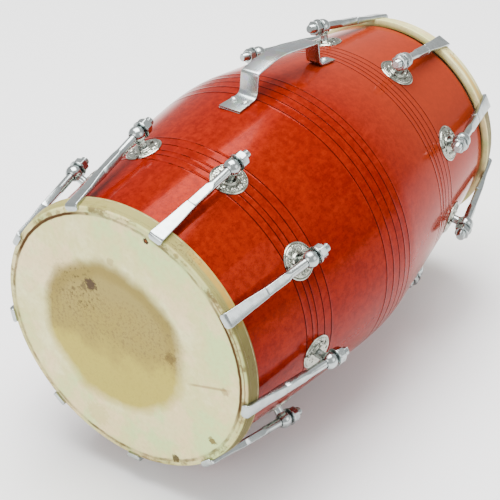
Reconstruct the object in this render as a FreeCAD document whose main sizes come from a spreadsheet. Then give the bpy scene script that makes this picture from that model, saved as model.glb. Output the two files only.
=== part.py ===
import FreeCAD, Part
import math
import os

import Sketcher

# A barrel drum with two skins. The drum's axis runs along X: the wide bass head faces -X, the narrow
# treble head +X. The handle is on top (+Z). The origin is under the middle of the drum, at the level
# of the lowest tension bolt.

SIZES = [
    # Barrel
    ("drum_length", 445, "between the faces of the two skins"),
    ("belly_radius", 139.7, "largest radius of the barrel"),
    ("belly_offset", 4.5, "from the middle of the drum to its belly, towards the bass head"),
    ("wall", 14, "thickness of the turned wooden wall"),
    ("bass_belly_bend", 370, "radius of the outline at the belly, bass side"),
    ("bass_belly_reach", 27, "length of that bend along the axis"),
    ("bass_flank_bend", 4000, "radius of the outline from there to the bass head"),
    ("treble_belly_bend", 160, "radius of the outline at the belly, treble side"),
    ("treble_belly_reach", 29, "length of that bend along the axis"),
    ("treble_flank_bend", 12000, "radius of the outline from there to the treble head"),
    ("bass_rebate_deep", 1.9, "from the barrel down to its rim inside the bass hoop"),
    ("treble_rebate_deep", 8, "from the barrel down to its rim inside the treble hoop"),
    ("bass_rebate_run", 1.5, "turned-down rim past the bass skin"),
    ("treble_rebate_run", 4, "turned-down rim past the treble skin"),
    ("rebate_chamfer", 2.5, "slope from the rim up to the barrel, along the axis"),
    ("rim_round", 3, "rounded edge that the skin bears on"),
    # Heads
    ("skin_thick", 1.2, "stretched skin"),
    ("skin_round", 3.6, "rounding where the skin turns over its hoop"),
    ("hoop_wall", 4.5, "radial thickness of the iron hoops"),
    ("hoop_play", 0.3, "radial clearance of the hoops on the rims"),
    ("bass_hoop_wide", 9.6, "bass hoop along the axis"),
    ("treble_hoop_wide", 13.6, "treble hoop along the axis"),
    ("seat_gap", 0.1, "clearance between fixed pieces"),
    ("paste_radius", 68, "tuning paste on the inner face of the bass skin"),
    ("paste_thick", 2, "its thickness"),
    ("paste_side", 13, "its centre, off the drum's axis"),
    ("paste_drop", 2, "its centre, below the drum's axis"),
    # Tension bolts
    ("bolt_count", 9, "bolts at each head"),
    ("treble_twist", 6.3, "degrees between the two rows of bolts"),
    ("bass_eye_inset", 97, "from the face of the bass skin back to its eye bolts"),
    ("treble_eye_inset", 94, "from the face of the treble skin back to its eye bolts"),
    ("eye_stand", 15, "centre of an eye above the barrel"),
    ("rod_dia", 8, "round rod of a hook"),
    ("eye_bore_play", 0.3, "radial clearance of the rod in its eye"),
    ("nut_bore_play", 0.05, "radial clearance of the rod in its nut"),
    ("eye_dia", 15, "ball of an eye bolt, bored for the rod"),
    ("stem_dia", 8, "stem of an eye bolt"),
    ("stem_hole_play", 0.2, "radial clearance of the stem"),
    ("stem_tail", 3, "stem past its inner nut"),
    ("washer_dia", 16, "outer washer, between eye and nut"),
    ("washer_thick", 1.6, "its thickness"),
    ("washer_gap", 0.1, "between the eye and its washer"),
    ("nut_flats", 13, "across the flats of a nut"),
    ("nut_height", 6.5, "height of a nut"),
    ("nut_corner", 0.7, "turned-off corner of a nut"),
    ("nut_gap", 0.3, "between the washer and the nut"),
    ("stub_length", 6.5, "rod past its nut"),
    ("stub_chamfer", 0.8, "chamfered end of the rod"),
    ("inner_washer_dia", 24, "washer inside the barrel"),
    ("inner_washer_thick", 2, "its thickness"),
    ("rosette_dia", 33, "pressed metal rosette under an eye"),
    ("rosette_thick", 1, "its sheet"),
    ("rosette_rise", 2.8, "its raised centre"),
    ("rosette_centre_dia", 14, "its flat raised centre"),
    ("rosette_ridge_dia", 25, "its pressed ridge"),
    ("rosette_ridge_rise", 2.2, "height of the ridge"),
    ("rosette_valley_rise", 1.5, "height of the valley between them"),
    # Hooks
    ("bar_length", 26, "squared bar between the round rod and the blade"),
    ("bar_wide", 8.2, "squared bar"),
    ("blade_length", 46, "flat blade, from its shoulder to the claw"),
    ("blade_thick", 4, "flat blade"),
    ("claw_wide", 13.5, "blade at the claw"),
    ("shoulder_wide", 8.8, "blade at its shoulder"),
    ("shoulder_thick", 6.6, "blade at its shoulder, and the bar"),
    ("shoulder_run", 18, "length over which the blade thins"),
    ("claw_gap", 0.3, "between the hook and the skin"),
    ("lip_thick", 3, "claw's lip, bent over the hoop"),
    ("lip_length", 2.7, "lip, inside the blade"),
    ("bend_round", 3.6, "outer rounding of the bent claw"),
    ("bend_inner_round", 0.6, "inner rounding of the bent claw"),
    ("tip_corner", 2, "cut corners at the lip's tip"),
    ("shoulder_chamfer", 1, "chamfered end of the bar, where the rod begins"),
    # Handle: its left is +Y, and its edges are measured from the drum's middle plane
    ("handle_blank", 40, "blank of galvanised sheet that the strip is cut from"),
    ("handle_thick", 2, "its thickness"),
    ("foot_gap", 0.3, "clearance of the flat feet on the bent barrel"),
    ("near_foot_reach", 56, "end of the near foot, towards the bass head"),
    ("near_foot_length", 29, "near foot"),
    ("near_lean", 3, "how far the near riser leans"),
    ("near_top_rise", 22, "top of the near riser, above the belly"),
    ("crown_reach", 7, "crown of the handle, towards the treble head"),
    ("crown_rise", 26.3, "crown, above the belly"),
    ("far_top_reach", 61, "top of the far riser, towards the treble head"),
    ("far_top_rise", 14.5, "top of the far riser, above the belly"),
    ("far_lean", 2, "how far the far riser leans"),
    ("far_foot_length", 23, "far foot"),
    ("near_foot_bend", 6, "inner radius of the near riser's foot"),
    ("near_top_bend", 1.5, "inner radius of the near riser's top bend"),
    ("far_top_bend", 3, "inner radius of the far riser's top bend"),
    ("far_foot_bend", 6, "inner radius of the far riser's foot"),
    ("crown_bend", 80, "inner radius at the crown"),
    ("near_end_left", 17.4, "left edge of the near foot's end"),
    ("near_end_right", 5.2, "right edge of the near foot's end"),
    ("near_riser_left", 11.7, "left edge at the near riser's top"),
    ("far_riser_left", 3.9, "left edge at the far riser's foot"),
    ("far_end_left", -3.4, "left edge of the far foot's end"),
    ("far_end_right", 12.2, "right edge of the far foot's end"),
    ("foot_clip_wide", 9, "clipped corner of the near foot, across it"),
    ("foot_clip_deep", 3, "clipped corner, along the foot"),
    ("foot_skew", 3.3, "how far the rest of the end falls back"),
    ("near_screw_pitch", 12, "between the two screws of the near foot"),
    ("near_screw_inset", 17, "from the near foot's end to its screws"),
    ("near_screw_left", 4.8, "middle of the two screws"),
    ("far_screw_inset", 9, "from the far foot's end to its screw"),
    ("far_screw_right", 6.2, "screw of the far foot"),
    ("screw_dia", 3.6, "shank of a screw"),
    ("screw_head_dia", 7, "domed head"),
    ("screw_head_rise", 2.2, "height of the domed head"),
    ("screw_length", 11, "shank in the wood"),
    ("screw_play", 0.1, "radial clearance of the shank"),
    ("pilot_flare", 0.04, "how much wider the pilot holes in the wood are at their mouths"),
]

doc = FreeCAD.newDocument("dholak")
sheet = doc.addObject("Spreadsheet::Sheet", "sizes")
for row, (alias, value, meaning) in enumerate(SIZES, start=1):
    sheet.set("A{}".format(row), alias)
    sheet.set("B{}".format(row), str(value))
    sheet.set("C{}".format(row), meaning)
    sheet.setAlias("B{}".format(row), alias)
derived = doc.addObject("App::VarSet", "derived")
doc.recompute()


class Size:
    """A length or an angle in degrees: its value, and the formula that binds it to the sheet."""

    def __init__(self, value, text):
        self.value = float(value)
        self.text = text

    def __add__(self, other):
        other = as_size(other)
        return Size(self.value + other.value, "({} + {})".format(self.text, other.text))

    def __sub__(self, other):
        other = as_size(other)
        return Size(self.value - other.value, "({} - {})".format(self.text, other.text))

    def __mul__(self, other):
        other = as_size(other)
        return Size(self.value * other.value, "({} * {})".format(self.text, other.text))

    def __truediv__(self, other):
        other = as_size(other)
        return Size(self.value / other.value, "({} / {})".format(self.text, other.text))

    def __neg__(self):
        return Size(-self.value, "(0 - {})".format(self.text))


def as_size(number):
    return number if isinstance(number, Size) else Size(number, repr(number))


def sine(angle):
    return Size(math.sin(math.radians(angle.value)), "sin({})".format(angle.text))


def cosine(angle):
    return Size(math.cos(math.radians(angle.value)), "cos({})".format(angle.text))


def tangent(angle):
    return Size(math.tan(math.radians(angle.value)), "tan({})".format(angle.text))


def root(square):
    return Size(math.sqrt(square.value), "sqrt({})".format(square.text))


def keep(name, size):
    """Stores a derived length by name, so that the pieces can be bound to it."""
    derived.addProperty("App::PropertyFloat", name)
    setattr(derived, name, size.value)
    derived.setExpression(name, size.text)
    return Size(size.value, "derived." + name)


def keep_angle(name, rise, run):
    """Stores the angle, in degrees, of a slope with this rise over this run."""
    text = "atan({} / {}) / 1 deg".format(rise.text, run.text)
    angle = Size(math.degrees(math.atan(rise.value / run.value)), text)
    return keep(name, angle)


SIZE = {alias: Size(value, "sizes." + alias) for alias, value, meaning in SIZES}
seat = SIZE["seat_gap"]
skin = SIZE["skin_thick"]


class Side:
    """One end of the drum, seen from the middle outwards: its part of the barrel, its rod line."""

    def __init__(self, name, sign, belly):
        self.name = name
        self.sign = sign
        self.belly = belly
        self.bend = SIZE[name + "_belly_bend"]
        self.reach = SIZE[name + "_belly_reach"]
        self.flank = SIZE[name + "_flank_bend"]
        self.face = keep(name + "_face", SIZE["drum_length"] / 2)
        self.depth = keep(name + "_depth", SIZE[name + "_hoop_wide"] + (skin + seat) * 2)
        self.low = SIZE["belly_radius"] - self.bend
        cos_reach = root(self.bend * self.bend - self.reach * self.reach)
        grown = (self.flank - self.bend) / self.bend
        self.join = keep(name + "_join", self.belly + self.reach)
        self.flank_x = keep(name + "_flank_x", self.belly - grown * self.reach)
        self.flank_low = keep(name + "_flank_low", self.low - grown * cos_reach)
        self.join_low = cos_reach
        self.eye_x = keep(name + "_stem_x", self.face - SIZE[name + "_eye_inset"])
        self.set_rim()
        self.set_rod_line()
        self.set_inner_seat()

    def radius(self, place, depth=Size(0, "0")):
        """Radius of the barrel at a place outwards of the middle, or that far under its surface."""
        if place.value <= self.join.value:
            bend, centre, low = self.bend, self.belly, self.low
        else:
            bend, centre, low = self.flank, self.flank_x, self.flank_low
        run = place - centre
        return low + root((bend - depth) * (bend - depth) - run * run)

    def set_rim(self):
        """The rim is turned down from the barrel, and the skin's corner stands over the hoop on it."""
        self.step = keep(self.name + "_rebate", self.face - self.depth - SIZE[self.name + "_rebate_run"])
        self.over = keep(self.name + "_rebate_top", self.step - SIZE["rebate_chamfer"])
        deep = SIZE[self.name + "_rebate_deep"]
        self.mouth = keep(self.name + "_mouth", self.radius(self.over) - deep)
        hoop = SIZE["hoop_play"] + SIZE["hoop_wall"]
        self.collar = keep(self.name + "_collar", self.mouth + hoop + skin + seat)

    def set_rod_line(self):
        """The rods run from their eyes to the claws, clear of the skin's corner by the claw gap."""
        foot = keep(self.name + "_stem_radius", self.radius(self.eye_x))
        centre = self.flank_low if self.eye_x.value > self.join.value else self.low
        middle = self.flank_x if self.eye_x.value > self.join.value else self.belly
        self.tilt = keep_angle(self.name + "_tilt", self.eye_x - middle, foot - centre)
        self.stem_radius = foot
        self.eye_place = keep(self.name + "_eye_x", self.eye_x + SIZE["eye_stand"] * sine(self.tilt))
        self.eye_radius = keep(self.name + "_eye_radius", foot + SIZE["eye_stand"] * cosine(self.tilt))
        run = keep(self.name + "_rod_run", self.face - self.eye_place)
        fall = keep(self.name + "_rod_fall", self.eye_radius - self.collar)
        chord = root(run * run + fall * fall)
        clear = SIZE["claw_gap"] + SIZE["blade_thick"] / 2
        whole = keep_angle(self.name + "_chord_lean", fall, run)
        part = keep_angle(self.name + "_clear_lean", clear, root(chord * chord - clear * clear))
        self.lean = keep(self.name + "_lean", whole - part)

    def set_inner_seat(self):
        """A flat washer on the hollow inner wall bears on two opposite points of its rim."""
        hollow = self.stem_radius - SIZE["wall"]
        half = SIZE["inner_washer_dia"] / 2
        sag = hollow - root(hollow * hollow - half * half)
        self.inner_seat = keep(self.name + "_inner_seat", sag + seat)

    def collar_radius(self, inward, depth):
        """Radius under the collar's surface, which runs parallel to the rods."""
        return self.collar + inward * tangent(self.lean) - depth / cosine(self.lean)


bass = Side("bass", -1, SIZE["belly_offset"])
treble = Side("treble", 1, -SIZE["belly_offset"])
SIDES = (bass, treble)

# A ball eye ends where its bore comes out. The drum lies with its axis so high that its lowest
# point is the flat of the bottom bass nut.
rod_hole = SIZE["rod_dia"] / 2 + SIZE["eye_bore_play"]
eye_reach = keep("eye_reach", root(SIZE["eye_dia"] * SIZE["eye_dia"] / 4 - rod_hole * rod_hole))
nut_end = keep("nut_end", eye_reach + SIZE["washer_gap"] + SIZE["washer_thick"]
               + SIZE["nut_gap"] + SIZE["nut_height"])
axis_height = keep("axis_height", bass.eye_radius + nut_end * sine(bass.lean)
                   + SIZE["nut_flats"] / 2 * cosine(bass.lean))

zero = Size(0, "0")
VERTICAL = FreeCAD.Vector(0, 0, 1)
ALONG = FreeCAD.Vector(1, 0, 0)
SIDEWAYS = FreeCAD.Vector(0, 1, 0)
MATCH = 1e-4


def new_body(label, head=None):
    """A body on the drum's axis. One for the bass head is turned round, so that +X is outwards."""
    body = doc.addObject("PartDesign::Body", label)
    body.Label = label
    body.Placement.Rotation = FreeCAD.Rotation(VERTICAL, 180 if head is bass else 0)
    body.setExpression("Placement.Base.z", axis_height.text)
    return body


def origin_of(body, role):
    return [plane for plane in body.Origin.OriginFeatures if plane.Role == role][0]


def add_outline(body, name, points, arcs=None, role="XZ_Plane"):
    """Closed outline through points. arcs gives a side's centre and radius."""
    sketch = body.newObject("Sketcher::SketchObject", name)
    sketch.AttachmentSupport = [(origin_of(body, role), "")]
    sketch.MapMode = "FlatFace"
    draw_outline(sketch, points, arcs or {})
    return sketch


def draw_outline(sketch, points, arcs):
    spots = [FreeCAD.Vector(across.value, up.value, 0) for across, up in points]
    ends = []
    for side, (tail, tip) in enumerate(zip(spots, spots[1:] + spots[:1])):
        if side in arcs:
            centre = FreeCAD.Vector(arcs[side][0].value, arcs[side][1].value, 0)
            angles = [math.atan2(spot.y - centre.y, spot.x - centre.x) for spot in (tail, tip)]
            backward = (angles[1] - angles[0]) % (2 * math.pi) > math.pi
            if backward:
                angles.reverse()
            circle = Part.Circle(centre, VERTICAL, (tail - centre).Length)
            sketch.addGeometry(Part.ArcOfCircle(circle, angles[0], angles[1]))
            ends.append((2, 1) if backward else (1, 2))
        else:
            sketch.addGeometry(Part.LineSegment(tail, tip))
            ends.append((1, 2))
    for side in range(len(points)):
        after = (side + 1) % len(points)
        sketch.addConstraint(Sketcher.Constraint("Coincident", side, ends[side][1], after, ends[after][0]))
    for side, (across, up) in enumerate(points):
        bind(sketch, Sketcher.Constraint("DistanceX", side, ends[side][0], across.value), across)
        bind(sketch, Sketcher.Constraint("DistanceY", side, ends[side][0], up.value), up)
    for side, (centre_across, centre_up, radius) in arcs.items():
        bind(sketch, Sketcher.Constraint("Radius", side, radius.value), radius)


def bind(sketch, constraint, size):
    number = sketch.addConstraint(constraint)
    sketch.setExpression("Constraints[{}]".format(number), size.text)


def revolve(body, sketch, role="X_Axis"):
    turned = body.newObject("PartDesign::Revolution", body.Name + "_turned")
    turned.Profile = sketch
    turned.ReferenceAxis = (origin_of(body, role), [""])
    turned.Angle = 360
    doc.recompute()
    return turned


def fillet_edges(body, base, name, names, radius):
    rounded = body.newObject("PartDesign::Fillet", body.Name + name)
    rounded.Base = (base, names)
    rounded.setExpression("Radius", radius.text)
    doc.recompute()
    return rounded


def circles_at(shape, spots, axis=ALONG):
    """Names of the full circles, round the axis, at the given (place, radius) pairs."""
    names = []
    for number, edge in enumerate(shape.Edges, start=1):
        if edge.Closed and edge.Curve.TypeId == "Part::GeomCircle":
            place = edge.Curve.Center.dot(axis)
            for spot_place, spot_radius in spots:
                if abs(place - spot_place.value) + abs(edge.Curve.Radius - spot_radius.value) < MATCH:
                    names.append("Edge{}".format(number))
    return names


def edges_along(shape, direction, spots):
    """Names of the straight edges with this direction whose middle lies at one of the spots."""
    names = []
    for number, edge in enumerate(shape.Edges, start=1):
        if edge.Curve.TypeId != "Part::GeomLine":
            continue
        middle = edge.CenterOfMass
        if edge.Curve.Direction.cross(direction).Length < MATCH:
            for spot in spots:
                if (middle - spot).Length < MATCH:
                    names.append("Edge{}".format(number))
    return names


def cylinder(name, radius, height, base=None, lean=None):
    """A cylinder from base, its axis leaning from +Z towards +X by lean."""
    piece = doc.addObject("Part::Cylinder", name)
    piece.setExpression("Radius", radius.text)
    piece.setExpression("Height", height.text)
    across, up = base or (zero, zero)
    piece.setExpression("Placement.Base.x", across.text)
    piece.setExpression("Placement.Base.z", up.text)
    if lean:
        piece.Placement.Rotation = FreeCAD.Rotation(SIDEWAYS, lean.value)
        piece.setExpression("Placement.Rotation.Angle", lean.text)
    return piece


def combine(kind, name, first, second):
    """Part::Fuse, Part::Cut or Part::Common of two pieces."""
    result = doc.addObject("Part::" + kind, name)
    result.Base = first
    result.Tool = second
    doc.recompute()
    return result


def bolt_turn(head, number):
    """How far a bolt stands from the top, round the drum's axis, looking from bass to treble."""
    step = 360.0 / SIZE["bolt_count"].value
    first = -step * 1.5
    return first + step * (number - 1) + (SIZE["treble_twist"].value if head is treble else 0)


def bolt_place(head, number, place, radius, lean):
    """Placement, from the drum's axis, of something at a bolt: +X outwards, leaning towards -Z."""
    spot = FreeCAD.Vector(place.value, 0, radius.value)
    there = FreeCAD.Placement(spot, FreeCAD.Rotation(SIDEWAYS, lean.value))
    turn = FreeCAD.Placement(FreeCAD.Vector(), FreeCAD.Rotation(ALONG, head.sign * bolt_turn(head, number)))
    side = FreeCAD.Placement(FreeCAD.Vector(), FreeCAD.Rotation(VERTICAL, 180 if head is bass else 0))
    return side * turn * there


def on_drum(placement):
    """From the drum's axis to the ground below the drum's middle."""
    return FreeCAD.Placement(FreeCAD.Vector(0, 0, axis_height.value), FreeCAD.Rotation()) * placement


def bolt_numbers():
    return range(1, int(SIZE["bolt_count"].value) + 1)


def add_group(label, shapes):
    """Identical pieces that share a node, as separate solids."""
    group = doc.addObject("Part::Feature", label)
    group.Label = label
    group.Shape = Part.makeCompound(shapes)
    group.setExpression("Placement.Base.z", axis_height.text)
    return group


def placed(shape, placement):
    copy = shape.copy()
    copy.Placement = placement * copy.Placement
    return copy


def make_shell():
    """Turned barrel: a bend at the belly, long flanks, and a turned-down rim inside each hoop."""
    wall = SIZE["wall"]
    barrel = new_body("barrel")
    end = keep("rim_end", bass.face - skin - seat)
    outer = {}
    inner = {}
    for head in SIDES:
        thin = (head.bend - wall) / head.bend
        inner_join = (head.belly + head.reach * thin, head.low + head.join_low * thin)
        outer[head] = [(end, head.mouth), (head.step, head.mouth),
                       (head.over, head.radius(head.over)), (head.join, head.radius(head.join))]
        inner[head] = [inner_join, (end, head.radius(end, wall))]
    mirrored = [(-place, radius) for place, radius in outer[bass]]
    points = mirrored + [(-bass.belly, SIZE["belly_radius"])] + outer[treble][::-1]
    points += inner[treble][::-1] + [(-bass.belly, SIZE["belly_radius"] - wall)]
    points += [(-place, radius) for place, radius in inner[bass]]
    arcs = {2: (-bass.flank_x, bass.flank_low, bass.flank),
            3: (-bass.belly, bass.low, bass.bend),
            4: (treble.belly, treble.low, treble.bend),
            5: (treble.flank_x, treble.flank_low, treble.flank),
            9: (treble.flank_x, treble.flank_low, treble.flank - wall),
            10: (treble.belly, treble.low, treble.bend - wall),
            11: (-bass.belly, bass.low, bass.bend - wall),
            12: (-bass.flank_x, bass.flank_low, bass.flank - wall)}
    turned = revolve(barrel, add_outline(barrel, "barrel_outline", points, arcs))
    rims = circles_at(turned.Shape, [(-end, bass.mouth), (end, treble.mouth)])
    fillet_edges(barrel, turned, "_rims", rims, SIZE["rim_round"])
    bored = combine("Cut", "barrel_bored", barrel, make_holes())
    shell = combine("Cut", "shell", bored, make_pilots())
    shell.Label = "shell"
    return shell


def make_hoop(head):
    """Iron hoop inside the skin's fold, rolled to the lean of the rods."""
    body = new_body(head.name + "_hoop", head)
    front = head.face - skin - seat
    back = head.face - head.depth + skin + seat
    shallow = skin + seat
    deep = shallow + SIZE["hoop_wall"]
    points = [(place, head.collar_radius(head.face - place, depth))
              for place, depth in ((front, deep), (front, shallow), (back, shallow), (back, deep))]
    revolve(body, add_outline(body, body.Name + "_section", points))
    return body


def make_skin(head):
    """Stretched skin: a flat disc that folds over the hoop and is tucked in behind it."""
    body = new_body(head.name + "_skin", head)
    tuck = skin + seat + SIZE["hoop_wall"]
    back = head.face - head.depth
    corner = (head.face, head.collar)
    points = [(head.face, zero), corner, (back, head.collar_radius(head.depth, zero)),
              (back, head.collar_radius(head.depth, tuck)),
              (back + skin, head.collar_radius(head.depth - skin, tuck)),
              (back + skin, head.collar_radius(head.depth - skin, skin)),
              (head.face - skin, head.collar_radius(skin, skin)),
              (head.face - skin, zero)]
    turned = revolve(body, add_outline(body, body.Name + "_section", points))
    fillet_edges(body, turned, "_front", circles_at(turned.Shape, [corner]), SIZE["skin_round"])
    return body


def make_paste():
    """Round patch of tuning paste, stuck to the inner face of the bass skin."""
    paste = cylinder("bass_paste", SIZE["paste_radius"], SIZE["paste_thick"])
    paste.Label = "bass_paste"
    paste.Placement.Rotation = FreeCAD.Rotation(SIDEWAYS, 90)
    paste.setExpression("Placement.Base.x", (skin + seat - bass.face).text)
    paste.setExpression("Placement.Base.y", "sizes.paste_side")
    paste.setExpression("Placement.Base.z", (axis_height - SIZE["paste_drop"]).text)
    return paste


def make_eye_bolt(head):
    """Ball-headed bolt on the barrel's normal (+Z), its origin on the surface, bored along the rod."""
    name = head.name + "_eye"
    bow = keep(head.name + "_bow", head.lean - head.tilt)
    along = Size(90, "90") + bow
    ball = doc.addObject("Part::Sphere", name + "_ball")
    ball.setExpression("Radius", (SIZE["eye_dia"] / 2).text)
    ball.setExpression("Placement.Base.z", "sizes.eye_stand")
    ball.Placement.Rotation = FreeCAD.Rotation(SIDEWAYS, along.value)
    foot = inner_nut_depth(head) + SIZE["nut_height"] + SIZE["stem_tail"]
    stem = cylinder(name + "_stem", SIZE["stem_dia"] / 2, foot + SIZE["eye_stand"], (zero, -foot))
    bolt = combine("Fuse", name + "_bolt", ball, stem)
    wide = SIZE["eye_dia"]
    bore_base = (-cosine(bow) * wide, SIZE["eye_stand"] + sine(bow) * wide)
    bore = cylinder(name + "_bore", rod_hole, wide * 2, bore_base, along)
    return combine("Cut", name + "_master", bolt, bore)


def inner_nut_depth(head):
    """From the barrel's surface, along a stem, to its inner nut."""
    return SIZE["wall"] + head.inner_seat + SIZE["inner_washer_thick"] + seat


def make_rosette():
    """Pressed sheet rosette, its origin on the barrel: a raised centre, a valley, a ridge, a rim."""
    body = doc.addObject("PartDesign::Body", "rosette_master")
    sheet_thick = SIZE["rosette_thick"]
    hole = SIZE["stem_dia"] / 2 + SIZE["stem_hole_play"]
    centre = SIZE["rosette_centre_dia"] / 2
    ridge = SIZE["rosette_ridge_dia"] / 2
    rim = SIZE["rosette_dia"] / 2
    valley = (centre + ridge) / 2
    top = [(hole, SIZE["rosette_rise"]), (centre, SIZE["rosette_rise"]),
           (valley, SIZE["rosette_valley_rise"]), (ridge, SIZE["rosette_ridge_rise"]),
           (rim, seat + sheet_thick / 2)]
    under = SIZE["rosette_rise"] - sheet_thick * 2
    points = top + [(rim, seat), (rim - sheet_thick, seat), (centre, under), (hole, under)]
    turned = revolve(body, add_outline(body, "rosette_section", points), "Z_Axis")
    body.Tip = turned
    return body


def make_washer(name, outer, hole, thick):
    """Flat washer standing on its origin, its axis along +Z."""
    disc = cylinder(name + "_disc", outer, thick)
    bore = cylinder(name + "_bore", hole, thick * 3, (zero, -thick))
    return combine("Cut", name, disc, bore)


def make_nut(name, hole, corners_turned):
    """Hexagon nut standing on its origin, a flat towards +X."""
    height = SIZE["nut_height"]
    corner = SIZE["nut_flats"] / 2 / cosine(Size(30, "30"))
    prism = doc.addObject("Part::Prism", name + "_prism")
    prism.Polygon = 6
    prism.setExpression("Circumradius", corner.text)
    prism.setExpression("Height", height.text)
    prism.Placement.Rotation = FreeCAD.Rotation(VERTICAL, 30)
    blank = turn_corners(name, prism, corner, height) if corners_turned else prism
    bore = cylinder(name + "_bore", hole, height * 3, (zero, -height))
    return combine("Cut", name, blank, bore)


def turn_corners(name, prism, corner, height):
    """Takes the corners off a nut's top with a cone of 45 degrees."""
    cone = doc.addObject("Part::Cone", name + "_cone")
    flank = SIZE["nut_corner"] * 2
    cone.setExpression("Radius1", (corner + height - flank).text)
    cone.setExpression("Radius2", (corner - flank).text)
    cone.setExpression("Height", height.text)
    return combine("Common", name + "_turned", prism, cone)


def make_hook(head):
    """Forged hook on its rod, its origin in the eye, +X along the rod to the claw.

    The side outline has the squared bar, the blade, thinned from its shoulder, and the lip, which
    lies flat on the head. The plan gives the step at the shoulder and the blade's taper. The round
    rod runs on into the bar.
    """
    name = head.name + "_hook_master"
    half = SIZE["blade_thick"] / 2
    shoulder = SIZE["shoulder_thick"] / 2
    slope = tangent(head.lean)
    inside = keep(head.name + "_lip_face", head.face + SIZE["claw_gap"] - head.eye_place)
    outside = keep(head.name + "_lip_front", inside + SIZE["lip_thick"])
    corner_in = (inside / cosine(head.lean) + half * slope, -half)
    corner_out = (outside / cosine(head.lean) - half * slope, half)
    lip = SIZE["lip_length"]
    tip_in = (corner_in[0] + lip * sine(head.lean), corner_in[1] - lip * cosine(head.lean))
    tip_out = (tip_in[0] + SIZE["lip_thick"] * cosine(head.lean),
               tip_in[1] + SIZE["lip_thick"] * sine(head.lean))
    start = keep(head.name + "_blade_start", corner_out[0] - SIZE["blade_length"])
    thin = start + SIZE["shoulder_run"]
    bar = start - SIZE["bar_length"]
    side_points = [(bar, shoulder), (start, shoulder), (thin, half), corner_out, tip_out, tip_in,
                   corner_in, (thin, -half), (start, -shoulder), (bar, -shoulder)]
    side = doc.addObject("Sketcher::SketchObject", name + "_side")
    side.Placement.Rotation = FreeCAD.Rotation(ALONG, 90)
    draw_outline(side, side_points, {})
    claw_half = SIZE["claw_wide"] / 2
    shoulder_half = SIZE["shoulder_wide"] / 2
    bar_half = SIZE["bar_wide"] / 2
    past = tip_out[0] + SIZE["lip_thick"]
    plan_points = [(bar, -bar_half), (start, -bar_half), (start, -shoulder_half),
                   (corner_in[0], -claw_half), (past, -claw_half), (past, claw_half),
                   (corner_in[0], claw_half), (start, shoulder_half), (start, bar_half),
                   (bar, bar_half)]
    plan = doc.addObject("Sketcher::SketchObject", name + "_plan")
    draw_outline(plan, plan_points, {})
    doc.recompute()
    blocks = [extrude(name + "_side_block", side, SIZE["claw_wide"] + SIZE["lip_thick"]),
              extrude(name + "_plan_block", plan, (lip + SIZE["shoulder_thick"]) * 3)]
    blade = combine("Common", name + "_blade", blocks[0], blocks[1])
    tip = [(tip_in[axis].value + tip_out[axis].value) / 2 for axis in (0, 1)]
    lip_through = FreeCAD.Vector(math.cos(math.radians(head.lean.value)), 0,
                                 math.sin(math.radians(head.lean.value)))
    tips = edges_along(blade.Shape, lip_through,
                       [FreeCAD.Vector(tip[0], side * claw_half.value, tip[1]) for side in (-1, 1)])
    cut = chamfer_edges(name + "_tip", blade, tips, SIZE["tip_corner"])
    back = [FreeCAD.Vector(bar.value, 0, side * shoulder.value) for side in (-1, 1)]
    flanks = [FreeCAD.Vector(bar.value, side * bar_half.value, 0) for side in (-1, 1)]
    shoulders = edges_along(cut.Shape, SIDEWAYS, back) + edges_along(cut.Shape, VERTICAL, flanks)
    eased = chamfer_edges(name + "_shoulder", cut, shoulders, SIZE["shoulder_chamfer"])
    bend = round_edges(name + "_bend", eased, [(corner_out, SIZE["bend_round"]),
                                               (corner_in, SIZE["bend_inner_round"])])
    tail = nut_end + SIZE["stub_length"]
    rod = cylinder(name + "_rod", SIZE["rod_dia"] / 2, tail + bar + SIZE["shoulder_chamfer"],
                   (-tail, zero), Size(90, "90"))
    doc.recompute()
    ends = ["Edge{}".format(number) for number, edge in enumerate(rod.Shape.Edges, start=1)
            if edge.Closed and edge.CenterOfMass.x < 0]
    stub = chamfer_edges(name + "_stub", rod, ends, SIZE["stub_chamfer"])
    return combine("Fuse", name, bend, stub)


def chamfer_edges(name, base, names, size):
    chamfer = doc.addObject("Part::Chamfer", name)
    chamfer.Base = base
    chamfer.Edges = [(int(edge[4:]), size.value, size.value) for edge in names]
    doc.recompute()
    return chamfer


def extrude(name, sketch, length):
    block = doc.addObject("Part::Extrusion", name)
    block.Base = sketch
    block.DirMode = "Normal"
    block.setExpression("LengthFwd", length.text)
    block.Symmetric = True
    block.Solid = True
    doc.recompute()
    return block


def round_edges(name, base, spots):
    """Rounds the edges across a bent strip that lie at the given places in the XZ plane."""
    rounded = doc.addObject("Part::Fillet", name)
    rounded.Base = base
    edges = []
    for (across, up), radius in spots:
        spot = FreeCAD.Vector(across.value, 0, up.value)
        for edge in edges_along(base.Shape, SIDEWAYS, [spot]):
            edges.append((int(edge[4:]), radius.value, radius.value))
    rounded.Edges = edges
    doc.recompute()
    return rounded


def barrel_radius(place):
    """Radius of the barrel at a place along the drum, treble side positive."""
    if place.value >= -SIZE["belly_offset"].value:
        return treble.radius(place)
    return bass.radius(-place)


def handle_path():
    """Underside of the bent blank: near foot, riser, crown, far riser, far foot."""
    belly = SIZE["belly_radius"]
    gap = SIZE["foot_gap"]
    near_end = -SIZE["near_foot_reach"] - SIZE["handle_thick"]
    near_bend = SIZE["near_foot_length"] - SIZE["near_foot_reach"]
    far_bend = SIZE["far_top_reach"] + SIZE["far_lean"]
    far_end = far_bend + SIZE["far_foot_length"]
    return [(near_end, barrel_radius(near_end) + gap),
            (near_bend, barrel_radius(near_bend) + gap),
            (near_bend + SIZE["near_lean"], belly + SIZE["near_top_rise"]),
            (SIZE["crown_reach"], belly + SIZE["crown_rise"]),
            (SIZE["far_top_reach"], belly + SIZE["far_top_rise"]),
            (far_bend, barrel_radius(far_bend) + gap),
            (far_end, barrel_radius(far_end) + gap)]


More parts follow.
